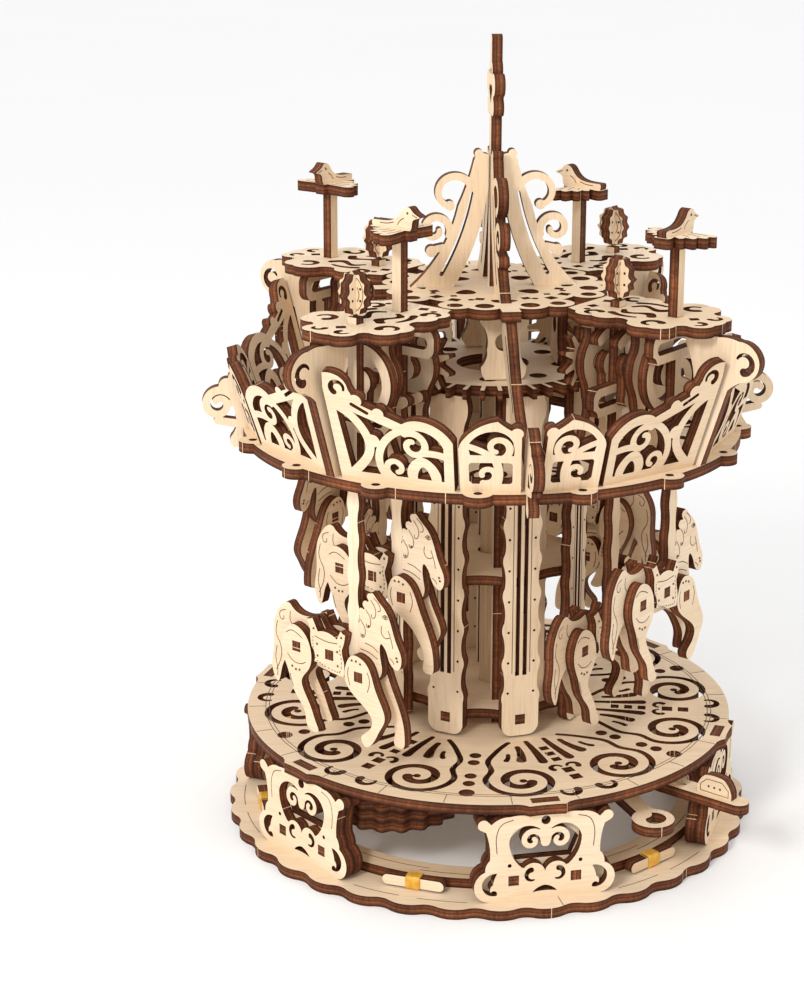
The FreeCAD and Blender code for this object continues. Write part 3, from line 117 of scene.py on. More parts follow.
def noise(tree, vector, scale, detail=4.0, rough=0.55, distortion=0.0):
    made = tree.nodes.new("ShaderNodeTexNoise")
    made.inputs["Scale"].default_value = scale
    made.inputs["Detail"].default_value = detail
    made.inputs["Roughness"].default_value = rough
    made.inputs["Distortion"].default_value = distortion
    link(tree, vector, made.inputs["Vector"])
    return made.outputs["Fac"]


def ramp(tree, factor, stops):
    made = tree.nodes.new("ShaderNodeValToRGB")
    elements = made.color_ramp.elements
    while len(elements) < len(stops):
        elements.new(0.5)
    for element, (place, colour) in zip(elements, stops):
        element.position = place
        element.color = (*colour, 1.0)
    link(tree, factor, made.inputs["Fac"])
    return made.outputs["Color"]


def mixed(tree, factor, first, second, blend="MIX"):
    made = tree.nodes.new("ShaderNodeMix")
    made.data_type = "RGBA"
    made.blend_type = blend
    if isinstance(factor, float):
        made.inputs["Factor"].default_value = factor
    else:
        link(tree, factor, made.inputs["Factor"])
    for index, value in ((6, first), (7, second)):
        if isinstance(value, tuple):
            made.inputs[index].default_value = (*value, 1.0)
        else:
            link(tree, value, made.inputs[index])
    return made.outputs[2]


def bumped(tree, shader, height, strength, distance):
    made = tree.nodes.new("ShaderNodeBump")
    made.inputs["Strength"].default_value = strength
    made.inputs["Distance"].default_value = distance
    link(tree, height, made.inputs["Height"])
    link(tree, made.outputs["Normal"], shader.inputs["Normal"])


def ranged(tree, value, low, high):
    made = tree.nodes.new("ShaderNodeMapRange")
    made.inputs["To Min"].default_value = low
    made.inputs["To Max"].default_value = high
    link(tree, value, made.inputs["Value"])
    return made.outputs["Result"]


# ---------------------------------------------------------------- finishes
def birch_face():
    """Pale sheet face: long fine grain, faint growth bands and small darker flecks."""
    material, tree, shader = new_material("birch_face")
    along = mapped(tree, (14.0, 190.0, 1.0))
    grain = noise(tree, along, 6.0, 6.0, 0.6, 0.4)
    bands = noise(tree, mapped(tree, (3.0, 26.0, 1.0)), 3.0, 3.0, 0.5, 1.2)
    patches = noise(tree, mapped(tree, (9.0, 9.0, 1.0)), 1.6, 2.0)
    pale = ramp(tree, bands, [
        (0.3, (0.82, 0.64, 0.45)), (0.55, (0.86, 0.69, 0.50)), (0.8, (0.90, 0.74, 0.56))])
    fine = ramp(tree, grain, [(0.30, (0.84, 0.80, 0.74)), (0.55, (1.0, 1.0, 1.0)), (1.0, (1.0, 1.0, 1.0))])
    coloured = mixed(tree, 0.75, pale, fine, "MULTIPLY")
    warm = ramp(tree, patches, [(0.35, (0.95, 0.90, 0.83)), (0.65, (1.0, 1.0, 1.0))])
    toned = mixed(tree, 0.7, coloured, warm, "MULTIPLY")
    piece = tree.nodes.new("ShaderNodeAttribute")
    piece.attribute_name = "tone"
    shade = ramp(tree, piece.outputs["Fac"], [(0.0, (0.90, 0.86, 0.80)), (0.6, (1.0, 1.0, 1.0))])
    final = mixed(tree, 1.0, toned, shade, "MULTIPLY")
    link(tree, final, shader.inputs["Base Color"])
    link(tree, ranged(tree, grain, 0.50, 0.68), shader.inputs["Roughness"])
    shader.inputs["Specular IOR Level"].default_value = 0.3
    bumped(tree, shader, grain, 0.25, 0.0001)
    return material


def burnt_edge():
    """Laser-burnt edge: veneer bands across the sheet and fine soot streaks."""
    material, tree, shader = new_material("burnt_edge")
    coords = tree.nodes.new("ShaderNodeUVMap")
    coords.uv_map = "sheet"
    apart = tree.nodes.new("ShaderNodeSeparateXYZ")
    link(tree, coords.outputs["UV"], apart.inputs["Vector"])
    wobble = noise(tree, mapped(tree, (120.0, 0.6, 1.0)), 1.0, 3.0)
    shift = ranged(tree, wobble, -0.10, 0.10)
    level = tree.nodes.new("ShaderNodeMath")
    level.operation = "ADD"
    link(tree, apart.outputs["Y"], level.inputs[0])
    link(tree, shift, level.inputs[1])
    wrap = tree.nodes.new("ShaderNodeMath")
    wrap.operation = "FRACT"
    link(tree, level.outputs["Value"], wrap.inputs[0])
    bands = ramp(tree, wrap.outputs["Value"], [
        (0.0, (0.040, 0.012, 0.005)), (0.16, (0.105, 0.032, 0.012)), (0.30, (0.165, 0.053, 0.019)),
        (0.42, (0.070, 0.020, 0.008)), (0.58, (0.230, 0.083, 0.031)), (0.74, (0.135, 0.043, 0.016)),
        (0.90, (0.065, 0.020, 0.008)), (1.0, (0.040, 0.012, 0.005))])
    soot = noise(tree, mapped(tree, (900.0, 1.1, 1.0)), 1.0, 5.0, 0.7)
    streak = ramp(tree, soot, [
        (0.28, (0.45, 0.40, 0.38)), (0.55, (1.0, 1.0, 1.0)), (0.85, (1.45, 1.35, 1.25))])
    patch = noise(tree, mapped(tree, (1.0, 1.0, 1.0), "Object"), 55.0, 3.0)
    tone = ramp(tree, patch, [
        (0.30, (0.62, 0.55, 0.50)), (0.60, (1.15, 1.10, 1.05)), (0.85, (1.9, 1.75, 1.6))])
    coloured = mixed(tree, 1.0, bands, streak, "MULTIPLY")
    final = mixed(tree, 1.0, coloured, tone, "MULTIPLY")
    link(tree, final, shader.inputs["Base Color"])
    link(tree, ranged(tree, soot, 0.60, 0.85), shader.inputs["Roughness"])
    shader.inputs["Specular IOR Level"].default_value = 0.2
    bumped(tree, shader, soot, 0.35, 0.0001)
    return material


def engraving():
    """Scorched brown of a laser line."""
    material, tree, shader = new_material("engraving")
    depth = noise(tree, mapped(tree, (1.0, 1.0, 1.0), "Object"), 900.0, 3.0)
    link(tree, ramp(tree, depth, [(0.3, (0.055, 0.028, 0.016)), (0.7, (0.16, 0.085, 0.048))]),
         shader.inputs["Base Color"])
    shader.inputs["Roughness"].default_value = 0.8
    return material


def bare_nick():
    """Unburnt wood where a piece was snapped from its sheet."""
    material, tree, shader = new_material("bare_nick")
    fibre = noise(tree, mapped(tree, (1.0, 1.0, 1.0), "Object"), 1400.0, 3.0)
    link(tree, ramp(tree, fibre, [(0.3, (0.55, 0.33, 0.17)), (0.7, (0.86, 0.66, 0.42))]),
         shader.inputs["Base Color"])
    shader.inputs["Roughness"].default_value = 0.7
    return material


def turned_rod():
    """Birch rod with long grain and faint lathe rings."""
    material, tree, shader = new_material("turned_rod")
    grain = noise(tree, mapped(tree, (260.0, 260.0, 9.0), "Object"), 3.0, 5.0)
    link(tree, ramp(tree, grain, [(0.3, (0.50, 0.33, 0.18)), (0.7, (0.72, 0.53, 0.33))]),
         shader.inputs["Base Color"])
    shader.inputs["Roughness"].default_value = 0.6
    bumped(tree, shader, grain, 0.3, 0.0001)
    return material


def amber_band():
    """Translucent amber rubber with a dusty bloom."""
    material, tree, shader = new_material("amber_band")
    bloom = noise(tree, mapped(tree, (1.0, 1.0, 1.0), "Object"), 420.0, 4.0)
    link(tree, ramp(tree, bloom, [(0.3, (0.62, 0.30, 0.02)), (0.7, (0.80, 0.46, 0.06))]),
         shader.inputs["Base Color"])
    link(tree, ranged(tree, bloom, 0.30, 0.50), shader.inputs["Roughness"])
    shader.inputs["Subsurface Weight"].default_value = 0.25
    shader.inputs["Subsurface Radius"].default_value = (0.004, 0.002, 0.0005)
    shader.inputs["Subsurface Scale"].default_value = 0.3
    bumped(tree, shader, bloom, 0.2, 0.0001)
    return material


FACE = birch_face()
EDGE = burnt_edge()
LINE = engraving()
NICK = bare_nick()
ROD = turned_rod()
RUBBER = amber_band()


# ---------------------------------------------------------------- plywood pieces
FACE_COSINE = 0.985
SMOOTH_ANGLE = math.radians(32)


def islands(bm):
    """Groups of faces that hang together."""
    left = set(bm.faces)
    groups = []
    for start in bm.faces:
        if start not in left:
            continue
        left.discard(start)
        group, stack = [], [start]
        while stack:
            face = stack.pop()
            group.append(face)
            for edge in face.edges:
                for other in edge.link_faces:
                    if other in left:
                        left.discard(other)
                        stack.append(other)
        groups.append(group)
    return groups


def sheet_normal(group):
    """The direction that most of a piece's surface faces."""
    totals = []
    for face in group:
        area = face.calc_area()
        for entry in totals:
            if abs(entry[0].dot(face.normal)) > FACE_COSINE:
                entry[1] += area
                break
        else:
            totals.append([face.normal.copy(), area])
    return max(totals, key=lambda entry: entry[1])[0].normalized()


def grain_axes(normal, points):
    """Two directions in the sheet: along the grain, which follows the longer side, and across it."""
    if abs(normal.z) > 0.9:
        first = Vector((1, 0, 0))
    else:
        first = Vector((0, 0, 1))
    first = (first - normal * first.dot(normal)).normalized()
    second = normal.cross(first)
    spread_first = max(p.dot(first) for p in points) - min(p.dot(first) for p in points)
    spread_second = max(p.dot(second) for p in points) - min(p.dot(second) for p in points)
    if spread_second > spread_first * 1.05:
        return second, -first
    return first, second


NICK_SPOTS = {}


def plywood(name):
    """The cut sheet pieces of a part, with their faces, burnt edges and a map that follows each sheet."""
    source = frame["nodes"][name]
    body = source["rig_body"]
    mesh = source.data.copy()
    mesh.name = name + "_sheets"
    bm = bmesh.new()
    bm.from_mesh(mesh)
    bmesh.ops.remove_doubles(bm, verts=bm.verts, dist=0.002 * MM)
    bm.normal_update()
    for layer in list(bm.loops.layers.uv):
        bm.loops.layers.uv.remove(layer)
    uv = bm.loops.layers.uv.new("sheet")
    tone = bm.faces.layers.float.new("tone")
    picker = random.Random(name + str(SEED))
    for group in islands(bm):
        normal = sheet_normal(group)
        points = [v.co for face in group for v in face.verts]
        along, across = grain_axes(normal, points)
        low = min(p.dot(normal) for p in points)
        offset = (picker.random(), picker.random())
        shade = picker.random()
        walls = []
        for face in group:
            on_sheet = abs(face.normal.dot(normal)) > FACE_COSINE
            face.material_index = 0 if on_sheet else 1
            face.smooth = not on_sheet
            face[tone] = shade
            tangent = normal.cross(face.normal) if not on_sheet else None
            for loop in face.loops:
                where = loop.vert.co
                if on_sheet:
                    loop[uv].uv = (where.dot(along) + offset[0], where.dot(across) + offset[1])
                else:
                    loop[uv].uv = (where.dot(tangent) + offset[0], (where.dot(normal) - low) / SHEET)
            if not on_sheet:
                walls.append(face)
        gather_nicks(picker, body, walls, normal)
    for edge in bm.edges:
        if len(edge.link_faces) == 2:
            first, second = edge.link_faces
            sharp = first.material_index != second.material_index
            edge.smooth = not sharp and edge.calc_face_angle(0.0) < SMOOTH_ANGLE
    mesh.materials.clear()
    mesh.materials.append(FACE)
    mesh.materials.append(EDGE)
    bm.to_mesh(mesh)
    bm.free()
    piece = bpy.data.objects.new(name + "_plywood", mesh)
    bpy.context.scene.collection.objects.link(piece)
    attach(piece, body)
    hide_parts(name)
    return piece


NICK_SHARE = 0.00035        # wall area that holds one nick, square metres


def gather_nicks(picker, body, walls, normal):
    """Choose the spots along a piece's edge where it was snapped from the sheet."""
    area = sum(face.calc_area() for face in walls)
    wide = [face for face in walls if face.calc_area() > 0.8e-6]
    count = min(len(wide), max(1, int(area / NICK_SHARE)))
    if not wide:
        return
    for face in picker.sample(wide, count):
        middle = face.calc_center_median()
        tangent = normal.cross(face.normal).normalized()
        spots = NICK_SPOTS.setdefault(body, [])
        base = middle - normal * middle.dot(normal)
        centre = sum((v.co.dot(normal) for v in face.verts)) / len(face.verts)
        low = min(v.co.dot(normal) for v in face.verts)
        high = max(v.co.dot(normal) for v in face.verts)
        spots.append((base + normal * ((low + high) / 2), tangent, normal, face.normal.copy(), high - low))


# ---------------------------------------------------------------- growing repeats on carriers
def new_tree(name, sizes):
    """An empty node tree with a geometry socket each way and named sizes."""
    tree = bpy.data.node_groups.new(name, "GeometryNodeTree")
    tree.interface.new_socket("Geometry", in_out="INPUT", socket_type="NodeSocketGeometry")
    for label, value in sizes.items():
        socket = tree.interface.new_socket(label, in_out="INPUT", socket_type="NodeSocketFloat")
        socket.default_value = value
    tree.interface.new_socket("Geometry", in_out="OUTPUT", socket_type="NodeSocketGeometry")
    return tree, tree.nodes.new("NodeGroupInput"), tree.nodes.new("NodeGroupOutput")


def finished_tree(tree, geometry, output, material):
    real = tree.nodes.new("GeometryNodeRealizeInstances")
    paint = tree.nodes.new("GeometryNodeSetMaterial")
    paint.inputs["Material"].default_value = material
    link(tree, geometry, real.inputs["Geometry"])
    link(tree, real.outputs["Geometry"], paint.inputs["Geometry"])
    link(tree, paint.outputs["Geometry"], output.inputs["Geometry"])
    return tree


def engraved_line_tree():
    """A round burnt line along every curve, sunk into the sheet so that only its crown shows."""
    tree, start, end = new_tree("engraved_lines", {"Line Width": 0.4 * MM})
    half = tree.nodes.new("ShaderNodeMath")
    half.operation = "DIVIDE"
    half.inputs[1].default_value = 2.0
    link(tree, start.outputs["Line Width"], half.inputs[0])
    profile = tree.nodes.new("GeometryNodeCurvePrimitiveCircle")
    profile.inputs["Resolution"].default_value = 6
    link(tree, half.outputs["Value"], profile.inputs["Radius"])
    sweep = tree.nodes.new("GeometryNodeCurveToMesh")
    sweep.inputs["Fill Caps"].default_value = True
    link(tree, start.outputs["Geometry"], sweep.inputs["Curve"])
    link(tree, profile.outputs["Curve"], sweep.inputs["Profile Curve"])
    return finished_tree(tree, sweep.outputs["Mesh"], end, LINE)


def drilled_dot_tree():
    """A small burnt bead on every point, sunk so that it reads as a laser dot."""
    tree, start, end = new_tree("drilled_dots", {"Dot Radius": 0.5 * MM})
    bead = tree.nodes.new("GeometryNodeMeshIcoSphere")
    bead.inputs["Subdivisions"].default_value = 2
    link(tree, start.outputs["Dot Radius"], bead.inputs["Radius"])
    spread = tree.nodes.new("GeometryNodeInstanceOnPoints")
    link(tree, start.outputs["Geometry"], spread.inputs["Points"])
    link(tree, bead.outputs["Mesh"], spread.inputs["Instance"])
    return finished_tree(tree, spread.outputs["Instances"], end, LINE)


def nick_tree():
    """A thin bare bar across the edge at every point, turned and stretched by the point's own values."""
    tree, start, end = new_tree("bare_nicks", {"Nick Width": 0.28 * MM, "Nick Depth": 0.06 * MM})
    size = tree.nodes.new("ShaderNodeCombineXYZ")
    link(tree, start.outputs["Nick Width"], size.inputs["X"])
    size.inputs["Y"].default_value = 1.0 * MM
    link(tree, start.outputs["Nick Depth"], size.inputs["Z"])
    bar = tree.nodes.new("GeometryNodeMeshCube")
    link(tree, size.outputs["Vector"], bar.inputs["Size"])
    turn = tree.nodes.new("GeometryNodeInputNamedAttribute")
    turn.data_type = "FLOAT_VECTOR"
    turn.inputs["Name"].default_value = "turn"
    span = tree.nodes.new("GeometryNodeInputNamedAttribute")
    span.data_type = "FLOAT_VECTOR"
    span.inputs["Name"].default_value = "span"
    spread = tree.nodes.new("GeometryNodeInstanceOnPoints")
    link(tree, start.outputs["Geometry"], spread.inputs["Points"])
    link(tree, bar.outputs["Mesh"], spread.inputs["Instance"])
    link(tree, turn.outputs["Attribute"], spread.inputs["Rotation"])
    link(tree, span.outputs["Attribute"], spread.inputs["Scale"])
    return finished_tree(tree, spread.outputs["Instances"], end, NICK)


LINE_TREE = engraved_line_tree()
DOT_TREE = drilled_dot_tree()
NICK_TREE = nick_tree()


def socket_name(tree, label):
    for item in tree.interface.items_tree:
        if item.item_type == "SOCKET" and item.in_out == "INPUT" and item.name == label:
            return item.identifier
    raise KeyError(label)


def grown(name, carrier, tree, body, **sizes):
    """Run a tree over a carrier and keep the result as one plain mesh that rides on a body."""
    bpy.context.scene.collection.objects.link(carrier)
    modifier = carrier.modifiers.new(tree.name, "NODES")
    modifier.node_group = tree
    for label, value in sizes.items():
        modifier[socket_name(tree, label.replace("_", " "))] = value
    depsgraph = bpy.context.evaluated_depsgraph_get()
    mesh = bpy.data.meshes.new_from_object(carrier.evaluated_get(depsgraph), depsgraph=depsgraph)
    mesh.name = name
    bpy.data.objects.remove(carrier)
    piece = bpy.data.objects.new(name, mesh)
    bpy.context.scene.collection.objects.link(piece)
    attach(piece, body)
    return piece


# ---------------------------------------------------------------- engraving lists
LINES = {}
DOTS = {}
SINK = 0.09 * MM


def polar(radius, azimuth, height=0.0):
    angle = math.radians(azimuth)
    return Vector((radius * math.cos(angle), radius * math.sin(angle), height))


def softened(points, rounds=2):
    """Corner-cut an open line so that a few points make a smooth stroke."""
    for _ in range(rounds):
        cut = [points[0]]
        for here, there in zip(points, points[1:]):
            cut.append(here.lerp(there, 0.25))
            cut.append(here.lerp(there, 0.75))
        cut.append(points[-1])
        points = cut
    return points


def engrave(body, points, soft=True):
    line = [Vector(p) for p in points]
    if soft and len(line) > 2:
        line = softened(line)
    LINES.setdefault(body, []).append(line)


def dot(body, point):
    DOTS.setdefault(body, []).append(Vector(point))


class Sheet:
    """A flat face to draw on: millimetre points (along, up) from an origin, sunk just below it."""

    def __init__(self, body, origin, along, up, outward):
        self.body = body
        self.origin = origin - outward * SINK
        self.along = along
        self.up = up

    def at(self, x, y):
        return self.origin + self.along * (x * MM) + self.up * (y * MM)

    def line(self, *points, soft=True):
        engrave(self.body, [self.at(x, y) for x, y in points], soft)

    def dots(self, *points):
        for x, y in points:
            dot(self.body, self.at(x, y))

    def arc(self, x, y, radius, start, sweep, steps=16):
        points = []
        for index in range(steps + 1):
            angle = math.radians(start + sweep * index / steps)
            points.append((x + radius * math.cos(angle), y + radius * math.sin(angle)))
        self.line(*points, soft=False)


def corners(name):
    """The lowest and highest corners of a node's box."""
    low, high = (Vector(corner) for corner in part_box(name))
    return low, high


def pole_place(number):
    """Radius and azimuth of a pole, with the directions out from it and along the horse."""
    low, high = corners("pole_%d" % number)
    middle = (low + high) / 2
    radius = math.hypot(middle.x, middle.y)
    azimuth = math.degrees(math.atan2(middle.y, middle.x))
    return radius, azimuth, polar(1.0, azimuth), polar(1.0, azimuth + 90)


def draw_horse(number):
    """Mane curls, face, tail, hip and shoulder lines and the stitched saddle cloth, on both sides."""
    body = "horse_%d" % number
    low, _ = corners("pole_%d" % number)
    radius, azimuth, out, along = pole_place(number)
    start = polar(radius, azimuth, low.z - POLE_FOOT) - along * HORSE_SHIFT
    for side in (-1, 1):
        draw_body_layer(Sheet(body, start + out * side * LAYER_HALF, along, UP, out * side))
        draw_leg_layer(Sheet(body, start + out * side * LEG_FACE, along, UP, out * side))


def draw_body_layer(face):
    face.line((-24.4, 43.6), (-27.6, 42.4), (-27.2, 39.2), (-25.2, 39.4), (-25.4, 41.0))
    face.line((-28.6, 38.2), (-29.8, 33.0), (-26.6, 28.4), (-26.8, 23.4), (-29.4, 18.2))
    face.line((-29.0, 28.0), (-30.0, 23.0), (-28.6, 18.8), (-29.0, 16.0))
    face.line((-22.0, 43.6), (-22.4, 40.0), (-20.6, 37.8))
    for x, y in ((12.2, 48.4), (14.8, 52.8), (17.2, 57.0)):
        face.line((x, y), (x + 2.5, y - 2.9), (x + 2.3, y - 6.4), (x + 0.5, y - 7.1), (x + 0.3, y - 5.5))
    face.line((18.6, 58.2), (21.4, 56.0), (21.9, 53.6), (20.4, 53.2))
    face.line((22.7, 51.7), (24.0, 52.8), (25.4, 51.7), (24.2, 50.7), (22.7, 51.7))
    face.line((22.3, 48.0), (22.0, 45.2), (24.0, 43.4), (26.2, 44.4))
    face.line((25.4, 47.0), (26.8, 43.8), (27.6, 40.4))
    face.line((26.0, 36.4), (27.6, 35.6), (28.2, 34.4))
    face.line((14.4, 39.6), (17.6, 39.2), (20.8, 37.4))
    face.line((12.2, 36.8), (16.4, 36.4), (20.4, 34.6))
    face.dots((24.1, 51.8), (29.3, 37.2), (29.7, 36.0), (16.2, 46.6), (13.4, 42.4))


def draw_leg_layer(face):
    face.line((-20.8, 36.6), (-18.2, 38.4), (-14.6, 37.2), (-13.0, 36.2))
    face.line((-20.2, 28.4), (-17.4, 25.6), (-13.6, 25.4), (-11.2, 26.8))
    face.line((-19.0, 20.6), (-18.2, 17.6), (-17.4, 15.6))
    face.dots((-17.8, 23.8), (-16.0, 22.9), (-14.2, 23.1))
    face.line((9.8, 30.2), (9.2, 27.2), (10.4, 23.2))
    face.line((18.8, 30.2), (20.2, 26.6), (18.8, 22.4))
    face.dots((11.4, 33.2), (13.4, 33.3), (15.4, 32.6))
    face.line((-6.6, 38.6), (-1.0, 37.4), (4.6, 38.0))
    border = [(-7.4, 38.2), (-7.4, 34.4), (-6.9, 30.6), (-5.6, 29.0), (-2.0, 27.8), (1.6, 27.1),
              (5.4, 26.7), (6.3, 28.6), (6.4, 32.0), (5.6, 35.2), (5.9, 38.4)]
    stitch = 0.55
    for (x0, y0), (x1, y1) in zip(border, border[1:]):
        count = max(1, round(math.hypot(x1 - x0, y1 - y0) / 1.5))
        for index in range(count):
            start, end = index / count, (index + stitch) / count
            face.line((x0 + (x1 - x0) * start, y0 + (y1 - y0) * start),
                      (x0 + (x1 - x0) * end, y0 + (y1 - y0) * end))
    face.dots((-7.0, 41.4), (6.4, 40.8), (-5.2, 31.0), (4.6, 29.2), (-5.4, 35.6), (4.4, 34.8))


def level_sheet(body, height):
    return Sheet(body, Vector((0, 0, height)), Vector((1, 0, 0)), Vector((0, 1, 0)), UP)


def draw_deck():
    """Two rings and short ticks near the deck's rim."""
    _, high = corners("deck")
    face = level_sheet("root", high.z)
    for inset in (7.2, 8.6):
        face.arc(0, 0, RIM_RADIUS - inset, 0, 360, 160)
    for index in range(24):
        tick = [polar(RIM_RADIUS - inset, index * 15 + 5.5) for inset in (7.2, 0.4)]
        face.line(*[(p.x, p.y) for p in tick], soft=False)


def draw_base():
    """Arcs between the brackets on both base rings, and the joint in the lower one."""
    _, lower_top = corners("base_ring")
    _, upper_top = corners("raised_ring")
    face = level_sheet("root", lower_top.z)
    upper = level_sheet("root", upper_top.z)
    for index in range(BRACKETS):
        start = BRACKET_AZIMUTH + 60 * index
        face.arc(0, 0, 98.6, start + 17, 11, 12)
        face.arc(0, 0, 98.6, start - 28, 11, 12)
        upper.arc(0, 0, 82.0, start + 8, 24, 20)
        upper.arc(0, 0, 84.2, start - 30, 26, 20)
    split = [polar(radius, BRACKET_AZIMUTH + 3.0) for radius in (96.5, 103.2)]
    face.line(*[(p.x, p.y) for p in split], soft=False)


def draw_brackets():
    """One long line down each shoulder of a bracket."""
    low, _ = corners("side_brackets")
    for index in range(BRACKETS):
        azimuth = BRACKET_AZIMUTH + 60 * index
        out = polar(1.0, azimuth)
        face = Sheet("root", polar(BRACKET_FACE * MM, azimuth, low.z), polar(1.0, azimuth + 90), UP, out)
        for side in (-1, 1):
            face.line((side * 12.2, 32.4), (side * 17.0, 31.2), (side * 18.8, 26.0), (side * 18.2, 19.4))


def draw_bird(number):
    """Eye, beak, folded feathers on the body and long feathers on the level wings."""
    body = "horse_%d" % number
    low, _ = corners("bird_%d" % number)
    radius, azimuth, out, along = pole_place(number)
    for side in (-1, 1):
        origin = polar(radius, azimuth, low.z + SHEET) + out * side * LAYER_HALF
        face = Sheet(body, origin, along, UP, out * side)
        face.dots((5.0, 6.3))
        face.line((7.2, 5.9), (8.4, 5.5), (9.4, 5.1))
        face.line((3.4, 4.4), (1.6, 3.4), (0.4, 1.6))
        face.line((-1.4, 2.4), (-4.0, 1.6), (-7.6, 1.5))
    for height, outward in ((low.z + SHEET, UP), (low.z, -UP)):
        wings = Sheet(body, polar(radius, azimuth, height), along, out, outward)
        for side in (-1, 1):
            wings.line((3.2, side * 3.4), (3.4, side * 6.6), (2.6, side * 10.4))
            wings.line((0.6, side * 3.4), (0.4, side * 6.2), (-0.8, side * 9.4))
            wings.line((-2.2, side * 3.2), (-2.6, side * 5.2), (-4.0, side * 7.0))
            wings.line((-7.4, side * 0.9), (-9.4, side * 1.4), (-10.8, side * 1.9))


def draw_lantern(number):
    """An oval line and a leaf on both faces of the lantern's main piece."""
    body = "horse_%d" % number
    low, _ = corners("lantern_%d" % number)
    radius, azimuth, out, along = pole_place(number)
    centre = polar(radius, azimuth, low.z + 8.2 * MM)
    for side in (-1, 1):
        face = Sheet(body, centre + out * side * LAYER_HALF, along, UP, out * side)
        for step in (-1, 1):
            oval = []
            for index in range(13):
                angle = math.radians(-75 + 150 * index / 12)
                oval.append((step * (5.1 * math.cos(angle)), 6.5 * math.sin(angle)))
            face.line(*oval, soft=False)
            face.line((step * 2.5, -2.6), (step * 3.6, 0.0), (step * 2.5, 2.6))


def draw_stop():
    """An arrow along the stop lever and a plain ruled border on its upright plate."""
    _, high = corners("stop_lever")
    pivot = STOP_PIVOT + UP * high.z
    along, across = polar(1.0, STOP_TURN), polar(1.0, STOP_TURN + 90)
    face = Sheet("stop_lever", pivot, along, across, UP)
    face.line((9.0, 0.0), (22.0, 0.0), soft=False)
    face.line((18.6, 1.8), (22.0, 0.0), (18.6, -1.8), soft=False)
    border = [(29.4, 1.0), (41.6, 1.0), (41.6, 3.6), (38.8, 6.2), (32.2, 6.2), (29.4, 3.6), (29.4, 1.0)]
    for side in (-1, 1):
        plate = Sheet("stop_lever", pivot + across * side * LAYER_HALF, along, UP, across * side)
        plate.line(*border, soft=False)
        plate.dots((33.0, 3.4), (35.5, 3.4), (38.0, 3.4))


def draw_column():
    """Two long rules beside the slots of every column plate."""
    low, _ = corners("column_plates")
    for index in range(COLUMN_PLATES):
        azimuth = COLUMN_AZIMUTH + 45 * index
        out = polar(1.0, azimuth)
        face = Sheet("root", polar(COLUMN_FACE * MM, azimuth, low.z), polar(1.0, azimuth + 90), UP, out)
        for side in (-1, 1):
            face.line((side * 3.6, 26.0), (side * 3.6, 112.0), soft=False)


for number in range(1, 9):
    draw_horse(number)
for number in (2, 3, 6, 7):
    draw_bird(number)
for number in (1, 4, 5, 8):
    draw_lantern(number)
draw_stop()
draw_column()
draw_deck()
draw_base()
draw_brackets()

PLY_NODES = [entry["node"] for entry in frame["record"]["subparts"] if entry["material_slot"] == "ply"]
for name in PLY_NODES:
    plywood(name)


def carve_lines():
    for body, lines in LINES.items():
        curve = bpy.data.curves.new(body + "_strokes", "CURVE")
        curve.dimensions = "3D"
        for line in lines:
            spline = curve.splines.new("POLY")
            spline.points.add(len(line) - 1)
            for point, where in zip(spline.points, line):
                point.co = (*where, 1.0)
        grown(body + "_engraving", bpy.data.objects.new(body + "_strokes", curve), LINE_TREE, body)


def drill_dots():
    for body, spots in DOTS.items():
        mesh = bpy.data.meshes.new(body + "_spots")
        mesh.from_pydata([tuple(spot) for spot in spots], [], [])
        grown(body + "_dots", bpy.data.objects.new(body + "_spots", mesh), DOT_TREE, body)


def cut_nicks():
    for body, spots in NICK_SPOTS.items():
        mesh = bpy.data.meshes.new(body + "_nick_spots")
        mesh.from_pydata([tuple(spot[0]) for spot in spots], [], [])
        turn = mesh.attributes.new("turn", "FLOAT_VECTOR", "POINT")
        span = mesh.attributes.new("span", "FLOAT_VECTOR", "POINT")
        for index, (_, tangent, normal, outward, height) in enumerate(spots):
            matrix = Matrix((tangent, normal, outward)).transposed()
            if matrix.determinant() < 0:
                matrix = Matrix((-tangent, normal, outward)).transposed()
            turn.data[index].vector = matrix.to_euler()
            span.data[index].vector = (1.0, height / MM, 1.0)
        grown(body + "_nicks", bpy.data.objects.new(body + "_nick_spots", mesh), NICK_TREE, body)


carve_lines()
drill_dots()
cut_nicks()


# ---------------------------------------------------------------- rods and bands
for name in ("drive_shaft", "pivot_pins"):
    rod = frame["nodes"][name]
    rod.data.materials.clear()
    rod.data.materials.append(ROD)


def band_mesh(name, path, across, width, thickness, body, node_name):
    """A closed flat rubber loop: path points with outward directions, swept across its width."""
    vertices, faces = [], []
    rings = 8
    count = len(path)
    for index, (centre, outward) in enumerate(path):
        for step in range(rings + 1):
            share = step / rings
            place = centre + across * ((share - 0.5) * width)
            swell = thickness * (0.82 + 0.18 * math.sin(math.pi * share))
            ripple = 0.04 * MM * math.sin(index * 0.9 + share * 5.0)
            vertices.append(place + outward * (swell + ripple))
            vertices.append(place + outward * 0.03 * MM)
    row = (rings + 1) * 2
    for index in range(count):
        here, there = index * row, ((index + 1) % count) * row
        for step in range(rings):
            a, b = here + step * 2, there + step * 2
            faces.append((a, b, b + 2, a + 2))
            faces.append((a + 1, a + 3, b + 3, b + 1))
        faces.append((here, here + 1, there + 1, there))
        last = rings * 2
        faces.append((here + last, there + last, there + last + 1, here + last + 1))
    mesh = bpy.data.meshes.new(name)
    mesh.from_pydata([tuple(v) for v in vertices], [], faces)
    bm = bmesh.new()
    bm.from_mesh(mesh)
    bmesh.ops.recalc_face_normals(bm, faces=bm.faces)
    for face in bm.faces:
        face.smooth = True
    bm.to_mesh(mesh)
    bm.free()
    mesh.materials.append(RUBBER)
    piece = bpy.data.objects.new(name, mesh)
    bpy.context.scene.collection.objects.link(piece)
    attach(piece, body)
    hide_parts(node_name)
    return piece


